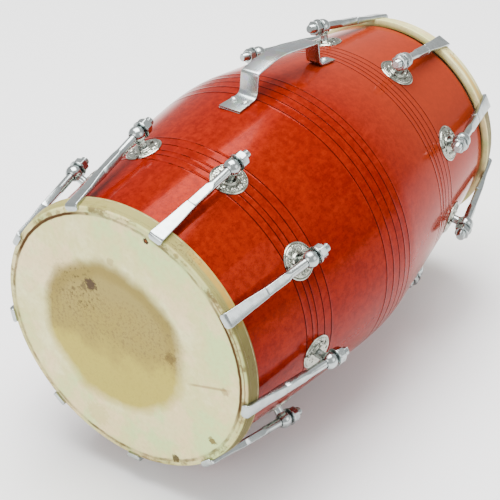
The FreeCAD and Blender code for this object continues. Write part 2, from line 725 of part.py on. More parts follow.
def screw_places():
    """On the strip's upper face at each screw, +Z square to its foot."""
    path = handle_path()
    half = SIZE["near_screw_pitch"] / 2
    middle = SIZE["near_screw_left"]
    rise = SIZE["handle_thick"] + seat
    near = SIZE["near_screw_inset"] - SIZE["near_foot_reach"]
    far = path[-1][0] - SIZE["far_screw_inset"]
    places = []
    for foot, place, sides in ((path[:2], near, (middle - half, middle + half)),
                               (path[-2:], far, (-SIZE["far_screw_right"],))):
        (tail_x, tail_z), (tip_x, tip_z) = foot
        slope = (tip_z - tail_z) / (tip_x - tail_x)
        height = tail_z + slope * (place - tail_x)
        square = FreeCAD.Rotation(SIDEWAYS, -math.degrees(math.atan(slope.value)))
        for side in sides:
            under = FreeCAD.Placement(FreeCAD.Vector(place.value, side.value, height.value), square)
            places.append(under * inward(-rise))
    return places


def offset_path(name, path, distance):
    """The path shifted square to its runs, its corners mitred."""
    normals = []
    for (tail_x, tail_z), (tip_x, tip_z) in zip(path, path[1:]):
        across, up = tip_x - tail_x, tip_z - tail_z
        length = root(across * across + up * up)
        normals.append((-up / length, across / length))
    shifted = []
    for number, (place, height) in enumerate(path):
        before = normals[max(number - 1, 0)]
        after = normals[min(number, len(normals) - 1)]
        spread = Size(1, "1") + before[0] * after[0] + before[1] * after[1]
        shifted.append((keep("{}_x{}".format(name, number),
                             place + distance * (before[0] + after[0]) / spread),
                        keep("{}_z{}".format(name, number),
                             height + distance * (before[1] + after[1]) / spread)))
    return shifted


def make_handle():
    """Handle bent from a blank with rounded bends, then cut to its tapered outline."""
    thick = SIZE["handle_thick"]
    under = [(keep("under_x{}".format(number), place), keep("under_z{}".format(number), height))
             for number, (place, height) in enumerate(handle_path())]
    upper = offset_path("upper", under, thick)
    outline = doc.addObject("Sketcher::SketchObject", "handle_outline")
    outline.Placement.Rotation = FreeCAD.Rotation(ALONG, 90)
    draw_outline(outline, under + upper[::-1], {})
    strip = extrude("handle_strip", outline, SIZE["handle_blank"])
    bends = [(1, SIZE["near_foot_bend"], -1), (2, SIZE["near_top_bend"], 1), (3, SIZE["crown_bend"], 1),
             (4, SIZE["far_top_bend"], 1), (5, SIZE["far_foot_bend"], -1)]
    rounds = []
    for number, radius, turn in bends:
        inner, outer = (upper, under) if turn < 0 else (under, upper)
        rounds += [(inner[number], radius), (outer[number], radius + thick)]
    bent = round_edges("handle_bent", strip, rounds)
    plan = doc.addObject("Sketcher::SketchObject", "handle_plan_outline")
    plan.setExpression("Placement.Base.z", "sizes.belly_radius")
    draw_outline(plan, plan_points(under), {})
    doc.recompute()
    cutter = extrude("handle_plan", plan, SIZE["handle_blank"] * 2)
    trimmed = combine("Common", "handle_trimmed", bent, cutter)
    hole = Part.makeCylinder(SIZE["screw_dia"].value / 2 + SIZE["screw_play"].value,
                             thick.value * 3, -VERTICAL * thick.value * 2)
    drills = doc.addObject("Part::Feature", "handle_drills")
    drills.Shape = Part.makeCompound([placed(hole, place) for place in screw_places()])
    handle = combine("Cut", "handle", trimmed, drills)
    handle.Label = "handle"
    handle.setExpression("Placement.Base.z", axis_height.text)
    return handle


def plan_points(under):
    """The strip seen from above: a skewed near end with a clipped corner, narrower to the far foot."""
    end = -SIZE["near_foot_reach"]
    left = SIZE["near_end_left"]
    past = under[-1][0] + SIZE["handle_thick"]
    return [(end + SIZE["foot_clip_deep"], left), (end, left - SIZE["foot_clip_wide"]),
            (end + SIZE["foot_skew"], -SIZE["near_end_right"]),
            (past, -SIZE["far_end_right"]), (past, SIZE["far_end_left"]),
            (under[-2][0], SIZE["far_riser_left"]), (under[2][0], SIZE["near_riser_left"])]


def make_screws():
    """Domed wood screws that hold the handle's feet."""
    body = doc.addObject("PartDesign::Body", "screw_master")
    shank = SIZE["screw_dia"] / 2
    rim = SIZE["screw_head_dia"] / 2
    rise = SIZE["screw_head_rise"]
    length = SIZE["screw_length"]
    dome = (rim * rim + rise * rise) / rise / 2
    points = [(zero, -length), (shank, -length), (shank, zero), (rim, zero), (zero, rise)]
    sketch = add_outline(body, "screw_section", points, {3: (zero, rise - dome, dome)})
    revolve(body, sketch, "Z_Axis")
    return add_group("handle_screws", [placed(body.Shape, place) for place in screw_places()])


def make_holes():
    """Stem holes of the eye bolts, to cut from the barrel."""
    deep = SIZE["wall"].value * 2
    tools = []
    for head in SIDES:
        hole = Part.makeCylinder(SIZE["stem_dia"].value / 2 + SIZE["stem_hole_play"].value, deep * 2,
                                 FreeCAD.Vector(0, 0, -deep))
        tools += [placed(hole, stem_place(head, number)) for number in bolt_numbers()]
    return add_group("barrel_holes", tools)


def make_pilots():
    """Pilot holes of the handle's screws, to cut from the barrel."""
    pilot = SIZE["screw_dia"].value / 2 + SIZE["screw_play"].value
    length = SIZE["screw_length"].value + SIZE["screw_play"].value
    drill = Part.makeCone(pilot, pilot + SIZE["pilot_flare"].value, length * 2, -VERTICAL * length)
    return add_group("barrel_pilots", [placed(drill, place) for place in screw_places()])


def stem_place(head, number):
    """On the barrel's surface at a bolt, +Z along the barrel's normal."""
    return bolt_place(head, number, head.eye_x, head.stem_radius, head.tilt)


def eye_place(head, number):
    """In the eye at a bolt, +X along the rod to the claw."""
    return bolt_place(head, number, head.eye_place, head.eye_radius, head.lean)


def rod_seat(distance):
    """On a rod, that far behind its eye, +Z away from the claw."""
    return FreeCAD.Placement(FreeCAD.Vector(-distance.value, 0, 0), FreeCAD.Rotation(SIDEWAYS, -90))


def inward(distance):
    return FreeCAD.Placement(FreeCAD.Vector(0, 0, -distance.value), FreeCAD.Rotation())


def make_bolts(head):
    """All of a head's tension bolts: fixed pieces in groups, each hook and its nut by themselves."""
    washer_start = eye_reach + SIZE["washer_gap"]
    nut_start = washer_start + SIZE["washer_thick"] + SIZE["nut_gap"]
    washer_depth = SIZE["wall"] + head.inner_seat + SIZE["inner_washer_thick"]
    nut_depth = inner_nut_depth(head) + SIZE["nut_height"]
    hook = make_hook(head)
    fixed = (("_eye_bolts", make_eye_bolt(head), None), ("_rosettes", rosette, None),
             ("_inner_washers", inner_washer, washer_depth), ("_inner_nuts", inner_nut, nut_depth))
    pieces = []
    for ending, master, depth in fixed:
        shift = inward(depth) if depth else FreeCAD.Placement()
        pieces.append(add_group(head.name + ending, [placed(master.Shape, stem_place(head, number) * shift)
                                                     for number in bolt_numbers()]))
    pieces.append(add_group(head.name + "_washers",
                            [placed(washer.Shape, eye_place(head, number) * rod_seat(washer_start))
                             for number in bolt_numbers()]))
    for number in bolt_numbers():
        pieces.append(add_copy(hook, "{}_hook_{}".format(head.name, number), eye_place(head, number)))
        pieces.append(add_copy(nut, "{}_nut_{}".format(head.name, number),
                               eye_place(head, number) * rod_seat(nut_start)))
    return pieces


def add_copy(master, label, placement):
    copy = doc.addObject("Part::Feature", label)
    copy.Label = label
    copy.Shape = master.Shape
    copy.Placement = on_drum(placement)
    return copy


def check_document():
    for thing in doc.Objects:
        if "Invalid" in thing.State or "Error" in thing.State:
            raise RuntimeError("{} failed: {}".format(thing.Name, thing.State))


def export(piece):
    shape = piece.Shape
    if shape.isNull() or not shape.isValid() or not shape.Solids:
        raise RuntimeError(piece.Label + " has no valid solid")
    shape.exportStep(os.path.join("parts", piece.Label + ".step"))


stem_hole = SIZE["stem_dia"] / 2 + SIZE["stem_hole_play"]
washer = make_washer("washer_master", SIZE["washer_dia"] / 2, rod_hole, SIZE["washer_thick"])
inner_washer = make_washer("inner_washer_master", SIZE["inner_washer_dia"] / 2, stem_hole,
                           SIZE["inner_washer_thick"])
nut = make_nut("nut_master", SIZE["rod_dia"] / 2 + SIZE["nut_bore_play"], True)
inner_nut = make_nut("inner_nut_master", SIZE["stem_dia"] / 2 + SIZE["nut_bore_play"], False)
rosette = make_rosette()

pieces = [make_shell(), make_paste(), make_handle(), make_screws()]
for head in SIDES:
    pieces += [make_hoop(head), make_skin(head)] + make_bolts(head)
doc.recompute()
check_document()
os.makedirs("parts", exist_ok=True)
for piece in pieces:
    export(piece)
print("pieces", len(pieces), "axis height", round(axis_height.value, 2))
for head in SIDES:
    print(head.name, "lean", round(head.lean.value, 2), "eye radius", round(head.eye_radius.value, 2))
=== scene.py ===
import math

import bpy
from mathutils import Matrix, Vector, noise


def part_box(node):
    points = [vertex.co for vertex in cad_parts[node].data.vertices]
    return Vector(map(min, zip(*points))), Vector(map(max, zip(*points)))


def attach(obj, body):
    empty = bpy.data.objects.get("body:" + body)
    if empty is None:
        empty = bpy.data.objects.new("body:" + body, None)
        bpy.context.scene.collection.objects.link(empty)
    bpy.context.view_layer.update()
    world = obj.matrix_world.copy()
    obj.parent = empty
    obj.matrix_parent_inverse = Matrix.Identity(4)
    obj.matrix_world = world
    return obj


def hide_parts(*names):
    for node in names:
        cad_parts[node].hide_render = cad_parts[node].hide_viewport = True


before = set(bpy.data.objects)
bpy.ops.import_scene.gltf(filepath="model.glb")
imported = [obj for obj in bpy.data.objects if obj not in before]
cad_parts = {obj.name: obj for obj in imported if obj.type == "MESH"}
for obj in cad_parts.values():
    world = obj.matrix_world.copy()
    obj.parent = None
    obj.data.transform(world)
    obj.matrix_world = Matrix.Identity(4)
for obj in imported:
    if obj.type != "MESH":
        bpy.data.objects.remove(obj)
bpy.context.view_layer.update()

# Sizes are in millimetres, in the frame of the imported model: the drum's axis runs along X, the bass head
# faces -X, the treble head +X, and the handle is on top.
MM = 0.001
low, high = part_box("shell")
AXIS = (low.z + high.z) / 2 / MM

# The barrel is widest at its belly, which stands a little off the middle, towards the bass head.
BELLY = 139.7
BELLY_AT = 4.5
WALL = 14
LENGTH = 445

# The skins are lapped over hoops, which sit on the turned-down rims of the barrel.
SKIN = 1.2
SKIN_ROUND = 3.6
SEAT = 0.1
HOOP_WALL = 4.5
HOOP_PLAY = 0.3
RIM_CHAMFER = 2.5

# Each rod runs through the bored ball of an eye bolt, and its nut bears on a washer behind the ball.
BOLTS = 9
BOLT_STEP = 40
FIRST_BOLT = -60
EYE = 7.5
EYE_STAND = 15
STEM_HOLE = 4.2
STEM_TAIL = 3
INNER_SEAT = 3
INNER_WASHER = 2
ROD = 4
PITCH = 1.25
BORE = ROD + 0.3
EYE_REACH = math.sqrt(EYE ** 2 - BORE ** 2)
WASHER = 1.6
WASHER_RADIUS = 8
WASHER_AT = EYE_REACH + 0.1
NUT_HIGH = 6.5
NUT_FLATS = 13
NUT_BORE = ROD + 0.05
NUT_START = WASHER_AT + WASHER + 0.3
STUB = 6.5

# A rod is squared to a bar and then forged to a flat blade, whose end is bent to a claw with a lip.
BAR_LONG = 26
BAR_THICK = 6.6
BAR_WIDE = 8.2
BLADE_LONG = 46
BLADE = 4
SHOULDER_WIDE = 8.9
CLAW_WIDE = 13.5
CLAW_GAP = 0.3
CLAW_ROUND = 3.6
CLAW_HOLLOW = 0.8
LIP = 3
LIP_LONG = 2.7

# The handle is a bent strip, screwed down on its two feet.
STRIP = 2.0
FOOT_GAP = 0.3
SCREW_HEAD = 3.5
SCREW_DOME = 2.2
SCREW_SHANK = 1.8
SCREW_LONG = 11


class Side:
    """One end of the drum, seen from the middle outwards.

    Its outline bends by the radius bend as far as reach from the belly, and by flank from there on. The rim
    goes on for run behind the hoop, deep below the barrel. Bolts stand inset from the face, turned by twist.
    """

    def __init__(self, name, sign, bend, reach, flank, hoop, run, deep, inset, twist):
        self.name, self.sign, self.twist = name, sign, twist
        self.bend, self.flank = bend, flank
        self.belly = -sign * BELLY_AT
        self.face = LENGTH / 2
        self.low = BELLY - bend
        self.join = self.belly + reach
        grown = (flank - bend) / bend
        self.flank_x = self.belly - grown * reach
        self.flank_low = self.low - grown * math.sqrt(bend ** 2 - reach ** 2)
        self.depth = hoop + 2 * (SKIN + SEAT)
        self.step = self.face - self.depth - run
        self.over = self.step - RIM_CHAMFER
        self.mouth = self.radius(self.over) - deep
        self.collar = self.mouth + HOOP_PLAY + HOOP_WALL + SKIN + SEAT
        self.aim_bolts(inset)

    def aim_bolts(self, inset):
        """Stems stand square on the barrel, and rods lean from their eyes down to the collar."""
        self.eye_x = self.face - inset
        self.foot = self.radius(self.eye_x)
        on_flank = self.eye_x > self.join
        middle, centre = (self.flank_x, self.flank_low) if on_flank else (self.belly, self.low)
        self.tilt = math.atan((self.eye_x - middle) / (self.foot - centre))
        self.eye_place = self.eye_x + EYE_STAND * math.sin(self.tilt)
        self.eye_radius = self.foot + EYE_STAND * math.cos(self.tilt)
        gap = self.face - self.eye_place
        fall = self.eye_radius - self.collar
        offset = BLADE / 2 + CLAW_GAP
        chord = math.hypot(gap, fall)
        self.lean = math.atan(fall / gap) - math.atan(offset / math.sqrt(chord ** 2 - offset ** 2))

    def radius(self, place):
        if place <= self.join:
            return self.low + math.sqrt(self.bend ** 2 - (place - self.belly) ** 2)
        return self.flank_low + math.sqrt(self.flank ** 2 - (place - self.flank_x) ** 2)

    def on_drum(self):
        half_turn = Matrix.Rotation(math.pi if self.sign < 0 else 0, 4, "Z")
        return Matrix.Translation((0, 0, AXIS * MM)) @ half_turn

    def place(self, number, along, radius, lean):
        """At a bolt: +X outwards along the drum, leaning towards the axis, and +Z away from it."""
        turn = FIRST_BOLT + BOLT_STEP * (number - 1) + self.twist
        there = Matrix.Translation((along * MM, 0, radius * MM)) @ Matrix.Rotation(lean, 4, "Y")
        round_axis = Matrix.Rotation(math.radians(self.sign * turn), 4, "X")
        return self.on_drum() @ round_axis @ there

    def stem_place(self, number):
        return self.place(number, self.eye_x, self.foot, self.tilt)

    def rod_place(self, number):
        return self.place(number, self.eye_place, self.eye_radius, self.lean)


bass = Side("bass", -1, bend=370, reach=27, flank=4000, hoop=9.6, run=1.5, deep=1.9, inset=97, twist=0)
treble = Side("treble", 1, bend=160, reach=29, flank=12000, hoop=13.6, run=4, deep=8, inset=94, twist=6.3)


# Mesh building

class Net:
    """Collects rings of points, in millimetres, and the faces between them."""

    def __init__(self):
        self.points = []
        self.faces = []
        self.finishes = []

    def add(self, rows, place=None, closed=False, caps=(False, False), finishes=None):
        """Faces between each ring and the next. caps close the first and last rings with a fan."""
        first = len(self.points)
        count = len(rows[0])
        for row in rows:
            for point in row:
                spot = Vector(point) * MM
                self.points.append(place @ spot if place else spot)
        for number in range(len(rows) if closed else len(rows) - 1):
            here = first + number * count
            there = first + (number + 1) % len(rows) * count
            for spot in range(count):
                beside = (spot + 1) % count
                self.faces.append((here + spot, here + beside, there + beside, there + spot))
            self.finishes += [finishes[number] if finishes else 0] * count
        for cap, number in zip(caps, (0, len(rows) - 1)):
            if cap:
                self.close(first + number * count, count, number == 0, finishes)

    def close(self, start, count, flipped, finishes):
        self.points.append(sum(self.points[start:start + count], Vector((0, 0, 0))) / count)
        centre = len(self.points) - 1
        for spot in range(count):
            one, other = start + spot, start + (spot + 1) % count
            self.faces.append((other, one, centre) if flipped else (one, other, centre))
            self.finishes.append(finishes[0 if flipped else -1] if finishes else 0)

    def make(self, name, materials, sharp=40):
        mesh = bpy.data.meshes.new(name)
        mesh.from_pydata([tuple(point) for point in self.points], [], self.faces)
        for material in materials:
            mesh.materials.append(material)
        mesh.polygons.foreach_set("material_index", self.finishes)
        mesh.shade_smooth()
        mesh.set_sharp_from_angle(angle=math.radians(sharp))
        mesh.update()
        piece = bpy.data.objects.new(name, mesh)
        bpy.context.scene.collection.objects.link(piece)
        return piece


def ring(radius, along, count, axis="X"):
    turns = [2 * math.pi * spot / count for spot in range(count)]
    if axis == "X":
        return [(along, radius * math.cos(turn), radius * math.sin(turn)) for turn in turns]
    return [(radius * math.cos(turn), radius * math.sin(turn), along) for turn in turns]


def turned(profile, count, axis="X"):
    """Rings of a turned piece from its profile of (place along the axis, radius)."""
    return [ring(radius, along, count, axis) for along, radius in profile]


def relief(reach, count, height):
    """A ring about Z whose height depends on its (x, y) and turn."""
    row = []
    for spot in range(count):
        turn = 2 * math.pi * spot / count
        x, y = reach * math.cos(turn), reach * math.sin(turn)
        row.append((x, y, height(x, y, turn)))
    return row


def rounded(points, radii, steps, closed=False):
    """A flat polyline with its corners rounded by the given radii, each within half of its sides."""
    most = 0.49
    result = []
    total = len(points)
    for number, (spot, radius) in enumerate(zip(points, radii)):
        if radius <= 0 or (not closed and number in (0, total - 1)):
            result.append(spot)
            continue
        here = Vector(spot)
        before = Vector(points[number - 1]) - here
        after = Vector(points[(number + 1) % total]) - here
        half = before.angle(after) / 2
        run = min(radius / math.tan(half), before.length * most, after.length * most)
        bow = run * math.tan(half)
        before.normalize()
        after.normalize()
        centre = here + (before + after).normalized() * (bow / math.sin(half))
        start = here + before * run - centre
        end = here + after * run - centre
        sweep = start.angle(end)
        for step in range(steps + 1):
            share = step / steps
            arm = (start * math.sin((1 - share) * sweep) + end * math.sin(share * sweep)) / math.sin(sweep)
            result.append(tuple(centre + arm))
    return result


def soft_box(width, thick, radius):
    """Points (across, up) round a rectangle with rounded corners, the same count every time."""
    steps = 3
    radius = min(radius, width / 2 - 0.01, thick / 2 - 0.01)
    points = []
    for corner, (side_a, side_b) in enumerate(((1, 1), (-1, 1), (-1, -1), (1, -1))):
        for step in range(steps + 1):
            turn = math.pi / 2 * (corner + step / steps)
            points.append((side_a * (width / 2 - radius) + radius * math.cos(turn),
                           side_b * (thick / 2 - radius) + radius * math.sin(turn)))
    return points


def offset_line(points, distance):
    """The polyline moved sideways, its corners kept."""
    moved = []
    last = len(points) - 1
    for number, spot in enumerate(points):
        before = Vector(spot) - Vector(points[max(number - 1, 0)])
        after = Vector(points[min(number + 1, last)]) - Vector(spot)
        before = after.normalized() if before.length == 0 else before.normalized()
        after = before if after.length == 0 else after.normalized()
        normal = Vector((-(before.y + after.y), before.x + after.x)).normalized()
        share = Vector((-before.y, before.x)).dot(normal)
        moved.append(tuple(Vector(spot) + normal * (distance / share)))
    return moved


def dense(line, pitch):
    """The line's points, with more of them between where they are over a pitch apart."""
    spots = []
    for tail, tip in zip(line, line[1:]):
        pieces = max(int((Vector(tip) - Vector(tail)).length / pitch), 1)
        spots += [Vector(tail).lerp(Vector(tip), step / pieces) for step in range(pieces)]
    return spots + [Vector(line[-1])]


def between(place, stops):
    """Straight interpolation between (place, value) stops."""
    for (start, first), (end, last) in zip(stops, stops[1:]):
        if place <= end or (end, last) == stops[-1]:
            share = min(max((place - start) / (end - start), 0), 1)
            return first + (last - first) * share


def blend_value(low_end, high_end, value):
    """Smooth step from 0 at low_end to 1 at high_end."""
    share = min(max((value - low_end) / (high_end - low_end), 0), 1)
    return share * share * (3 - 2 * share)


def ripple(x, y, z, scale, seed):
    return noise.noise(Vector((x * scale + seed, y * scale - seed, z * scale + 2 * seed)))


# Materials

class Finish:
    """A procedural material: helpers that add nodes and return their outputs."""

    def __init__(self, name, **settings):
        self.material = bpy.data.materials.new(name)
        self.material.use_nodes = True
        self.tree = self.material.node_tree
        self.shader = [node for node in self.tree.nodes if node.type == "BSDF_PRINCIPLED"][0]
        for key, value in settings.items():
            self.shader.inputs[key.replace("_", " ")].default_value = value
        self.spot = self.node("ShaderNodeTexCoord").outputs["Object"]

    def node(self, kind, **settings):
        made = self.tree.nodes.new(kind)
        for key, value in settings.items():
            setattr(made, key, value)
        return made

    def link(self, source, target):
        if isinstance(source, (int, float)):
            target.default_value = source
        elif isinstance(source, tuple):
            target.default_value = source if len(target.default_value) == len(source) else (*source, 1)
        else:
            self.tree.links.new(source, target)

    def math(self, operation, *values, clamp=False):
        made = self.node("ShaderNodeMath", operation=operation, use_clamp=clamp)
        for value, target in zip(values, made.inputs):
            self.link(value, target)
        return made.outputs[0]

    def times(self, *values):
        product = values[0]
        for value in values[1:]:
            product = self.math("MULTIPLY", product, value)
        return product

    def vector(self, operation, *values):
        made = self.node("ShaderNodeVectorMath", operation=operation)
        for value, target in zip(values, made.inputs):
            self.link(value, target)
        return made.outputs["Value" if operation in ("LENGTH", "DISTANCE") else "Vector"]

    def parts(self):
        """X, Y and Z of the spot."""
        made = self.node("ShaderNodeSeparateXYZ")
        self.link(self.spot, made.inputs[0])
        return tuple(made.outputs)

    def azimuth(self, across, height):
        """Turn about the drum's axis, from the handle, in radians."""
        return self.math("ARCTAN2", self.times(across, -1.0), height)

    def stretch(self, scale, shift=(0, 0, 0)):
        made = self.node("ShaderNodeMapping")
        made.inputs["Scale"].default_value = scale
        made.inputs["Location"].default_value = shift
        self.link(self.spot, made.inputs["Vector"])
        return made.outputs[0]

    def vary(self):
        """Shifts the texture by the object, so that repeated pieces differ."""
        info = self.node("ShaderNodeObjectInfo")
        shift = self.node("ShaderNodeCombineXYZ")
        for target in shift.inputs:
            self.link(info.outputs["Random"], target)
        self.spot = self.vector("ADD", self.spot, shift.outputs[0])

    def noise(self, scale, detail=4, rough=0.55, where=None, warp=0.0):
        made = self.node("ShaderNodeTexNoise")
        made.inputs["Scale"].default_value = scale
        made.inputs["Detail"].default_value = detail
        made.inputs["Roughness"].default_value = rough
        made.inputs["Distortion"].default_value = warp
        self.link(where or self.spot, made.inputs["Vector"])
        return made.outputs["Fac"]

    def cells(self, scale):
        """A colour of its own for each crystal of zinc."""
        made = self.node("ShaderNodeTexVoronoi")
        made.inputs["Scale"].default_value = scale
        self.link(self.spot, made.inputs["Vector"])
        return made.outputs["Color"]

    def ramp(self, value, *stops):
        """Greys or colours between (place, colour) stops."""
        made = self.node("ShaderNodeValToRGB")
        items = made.color_ramp.elements
        while len(items) < len(stops):
            items.new(0.5)
        for item, (place, colour) in zip(items, stops):
            item.position = place
            item.color = (colour,) * 3 + (1,) if isinstance(colour, (int, float)) else (*colour, 1)
        self.link(value, made.inputs["Fac"])
        return made.outputs["Color"]

    def mix(self, share, one, other, kind="MIX"):
        """Its colour sockets come after those for numbers and vectors, under the same names."""
        first_colour, second_colour, colour_out = 6, 7, 2
        made = self.node("ShaderNodeMix", data_type="RGBA", blend_type=kind)
        self.link(share, made.inputs["Factor"])
        self.link(one, made.inputs[first_colour])
        self.link(other, made.inputs[second_colour])
        return made.outputs[colour_out]

    def cover(self, colour, tone, *masks):
        """Lays a tone over the colour, by the product of the masks. A mask can be a plain number."""
        return self.mix(self.times(*masks), colour, tone)

    def near(self, value, centre, reach, soft):
        """1 where the value is within reach of the centre, falling to 0 over soft."""
        off = self.math("ABSOLUTE", self.math("SUBTRACT", value, centre))
        return self.math("DIVIDE", self.math("SUBTRACT", reach + soft, off), soft, clamp=True)

    def lay(self, target, value):
        self.link(value, self.shader.inputs[target])

    def bump(self, height, strength, distance, under=None):
        made = self.node("ShaderNodeBump")
        made.inputs["Strength"].default_value = strength
        made.inputs["Distance"].default_value = distance
        self.link(height, made.inputs["Height"])
        if under is not None:
            self.link(under, made.inputs["Normal"])
        return made.outputs["Normal"]


def lacquer():
    """Clear gloss over red-orange stain, grained and mottled, with a painted sheen that makes it paler and
    warmer from the belly on to the treble head.
    """
    f = Finish("red_lacquer", Coat_Weight=0.07, Coat_Roughness=0.05, Coat_IOR=1.3, Metallic=0.16,
               Specular_IOR_Level=0.05, Specular_Tint=(1.0, 0.34, 0.20, 1.0))
    grain = f.noise(9, 6, 0.6, f.stretch((6, 34, 34)), 0.4)
    cloud = f.noise(11)
    mottle = f.noise(170, 5, 0.7)
    speck = f.noise(900, 2, 0.6)
    along, _, _ = f.parts()
    colour = f.ramp(grain, (0.25, (0.15, 0.0038, 0.0007)), (0.55, (0.19, 0.0066, 0.0009)),
                    (0.8, (0.235, 0.0115, 0.0012)))
    colour = f.cover(colour, (0.24, 0.0145, 0.0018), f.ramp(cloud, (0.40, 0.0), (0.65, 0.5)))
    colour = f.cover(colour, (0.105, 0.0026, 0.0005), f.ramp(mottle, (0.42, 0.0), (0.60, 0.6)))
    colour = f.cover(colour, (0.06, 0.0012, 0.0003), f.ramp(speck, (0.52, 0.0), (0.8, 0.5)))
    # Painted sheen: a paler, warmer red laid on from the belly towards the treble head, standing in for the
    # light the lacquer reflects there.
    colour = f.cover(colour, (0.29, 0.040, 0.014), f.ramp(along, (0.0, 0.0), (0.12, 0.55)))
    f.lay("Base Color", colour)
    f.lay("Roughness", f.ramp(speck, (0.3, 0.10), (0.8, 0.20)))
    f.lay("Normal", f.bump(speck, 0.06, 0.0002, f.bump(f.noise(26, 3), 0.06, 0.0006)))
    return f.material


def groove_lacquer():
    """Dark stain in the turned grooves, worn in places, and broken into dashes between two bass bolts."""
    f = Finish("dark_groove", Specular_IOR_Level=0.05)
    along, across, up = f.parts()
    azimuth = f.azimuth(across, f.math("SUBTRACT", up, AXIS * MM))
    dark = f.ramp(f.noise(160, 3), (0.3, (0.010, 0.0007, 0.0004)), (0.7, (0.03, 0.0015, 0.0006)))
    worn = f.ramp(f.noise(45, 4, 0.7), (0.60, 0.0), (0.68, 0.6))
    dashes = f.times(f.near(azimuth, 0.02, 0.16, 0.05), f.near(along, -0.124, 0.018, 0.002),
                     f.ramp(f.noise(110, 2, 0.5), (0.47, 0.0), (0.51, 0.95)))
    f.lay("Base Color", f.cover(dark, (0.16, 0.0048, 0.0007), f.math("MAXIMUM", worn, dashes)))
    f.lay("Roughness", f.ramp(f.noise(300, 2), (0.3, 0.5), (0.7, 0.7)))
    return f.material


def bare_wood():
    f = Finish("bare_wood")
    grain = f.noise(14, 6, 0.65, f.stretch((3, 40, 40)), 0.5)
    f.lay("Base Color", f.ramp(grain, (0.3, (0.24, 0.13, 0.06)), (0.7, (0.42, 0.27, 0.14))))
    f.lay("Roughness", f.ramp(grain, (0.3, 0.65), (0.7, 0.8)))
    f.lay("Normal", f.bump(grain, 0.3, 0.0006))
    return f.material


def plated(name, tint, dark, rough):
    """Plating over forged or drawn steel, cloudy, with dull specks."""
    f = Finish(name, Metallic=1.0)
    f.vary()
    cloud = f.noise(120, 4, 0.6)
    fine = f.noise(900, 3, 0.6)
    colour = f.cover(tint, dark, f.ramp(cloud, (0.45, 0.0), (0.75, 0.7)))
    f.lay("Base Color", f.cover(colour, (0.16, 0.15, 0.13), f.ramp(fine, (0.62, 0.0), (0.8, 0.6))))
    f.lay("Roughness", f.ramp(cloud, (0.3, rough[0]), (0.75, rough[1])))
    f.lay("Normal", f.bump(fine, 0.12, 0.0002, f.bump(cloud, 0.15, 0.0005)))
    return f.material


def galvanised():
    """Zinc-coated strip: spangled, dull bright, scratched along its length."""
    f = Finish("galvanised_strip", Metallic=1.0)
    zinc = (0.47, 0.49, 0.49)
    scratch = f.noise(60, 5, 0.7, f.stretch((0.6, 30, 0.6)))
    cloud = f.noise(45)
    grey = f.mix(0.2, zinc, f.mix(1.0, zinc, f.cells(150), "MULTIPLY"))
    grey = f.cover(grey, (0.27, 0.29, 0.29), f.ramp(cloud, (0.4, 0.0), (0.7, 0.8)))
    f.lay("Base Color", f.cover(grey, (0.74, 0.75, 0.73), f.ramp(scratch, (0.60, 0.0), (0.70, 0.6))))
    f.lay("Roughness", f.ramp(cloud, (0.3, 0.18), (0.75, 0.36)))
    f.lay("Normal", f.bump(scratch, 0.12, 0.0003, f.bump(cloud, 0.2, 0.0008)))
    return f.material


def two_tone(name, base, rough, **settings):
    """A plain material. base and rough each give a noise's scale and detail, and the stops of its ramp."""
    f = Finish(name, **settings)
    for target, (scale, detail, *stops) in (("Base Color", base), ("Roughness", rough)):
        f.lay(target, f.ramp(f.noise(scale, detail), *stops))
    return f.material


# Marks on the bass skin: (place across and up from the axis), size, colour and share.
BROWN = (0.07, 0.04, 0.025)
UMBER = (0.10, 0.055, 0.022)
STAINS = [
    ((32.5, 45.5), 6.5, (0.050, 0.028, 0.022), 0.9),
    ((40, 40), 3.5, (0.06, 0.035, 0.025), 0.6),
    ((52, 34), 2.2, BROWN, 0.6),
    ((46, 22), 1.8, BROWN, 0.5),
    ((64, 28), 1.6, BROWN, 0.5),
    ((58, 12), 1.5, BROWN, 0.5),
    ((-49, 0), 6, (0.10, 0.06, 0.022), 0.6),
    ((8, 77), 4, (0.36, 0.29, 0.12), 0.6),
    ((-104, -12), 4, (0.30, 0.21, 0.09), 0.6),
    ((-88, -71), 4, (0.13, 0.072, 0.014), 0.85),
    ((-47, -109), 4, (0.035, 0.018, 0.008), 0.9),
    ((38, -96), 12, (0.54, 0.47, 0.17), 0.5),
    ((-32, 112), 2.9, (0.030, 0.012, 0.008), 1.0),
    ((-32, 112), 1.1, (0.17, 0.05, 0.013), 0.9),
    ((70, 101), 4, UMBER, 0.7),
    ((60, 107), 3, UMBER, 0.6),
    ((82, 92), 2.5, UMBER, 0.5),
    ((-62, 108), 2.4, (0.06, 0.035, 0.015), 0.6),
]


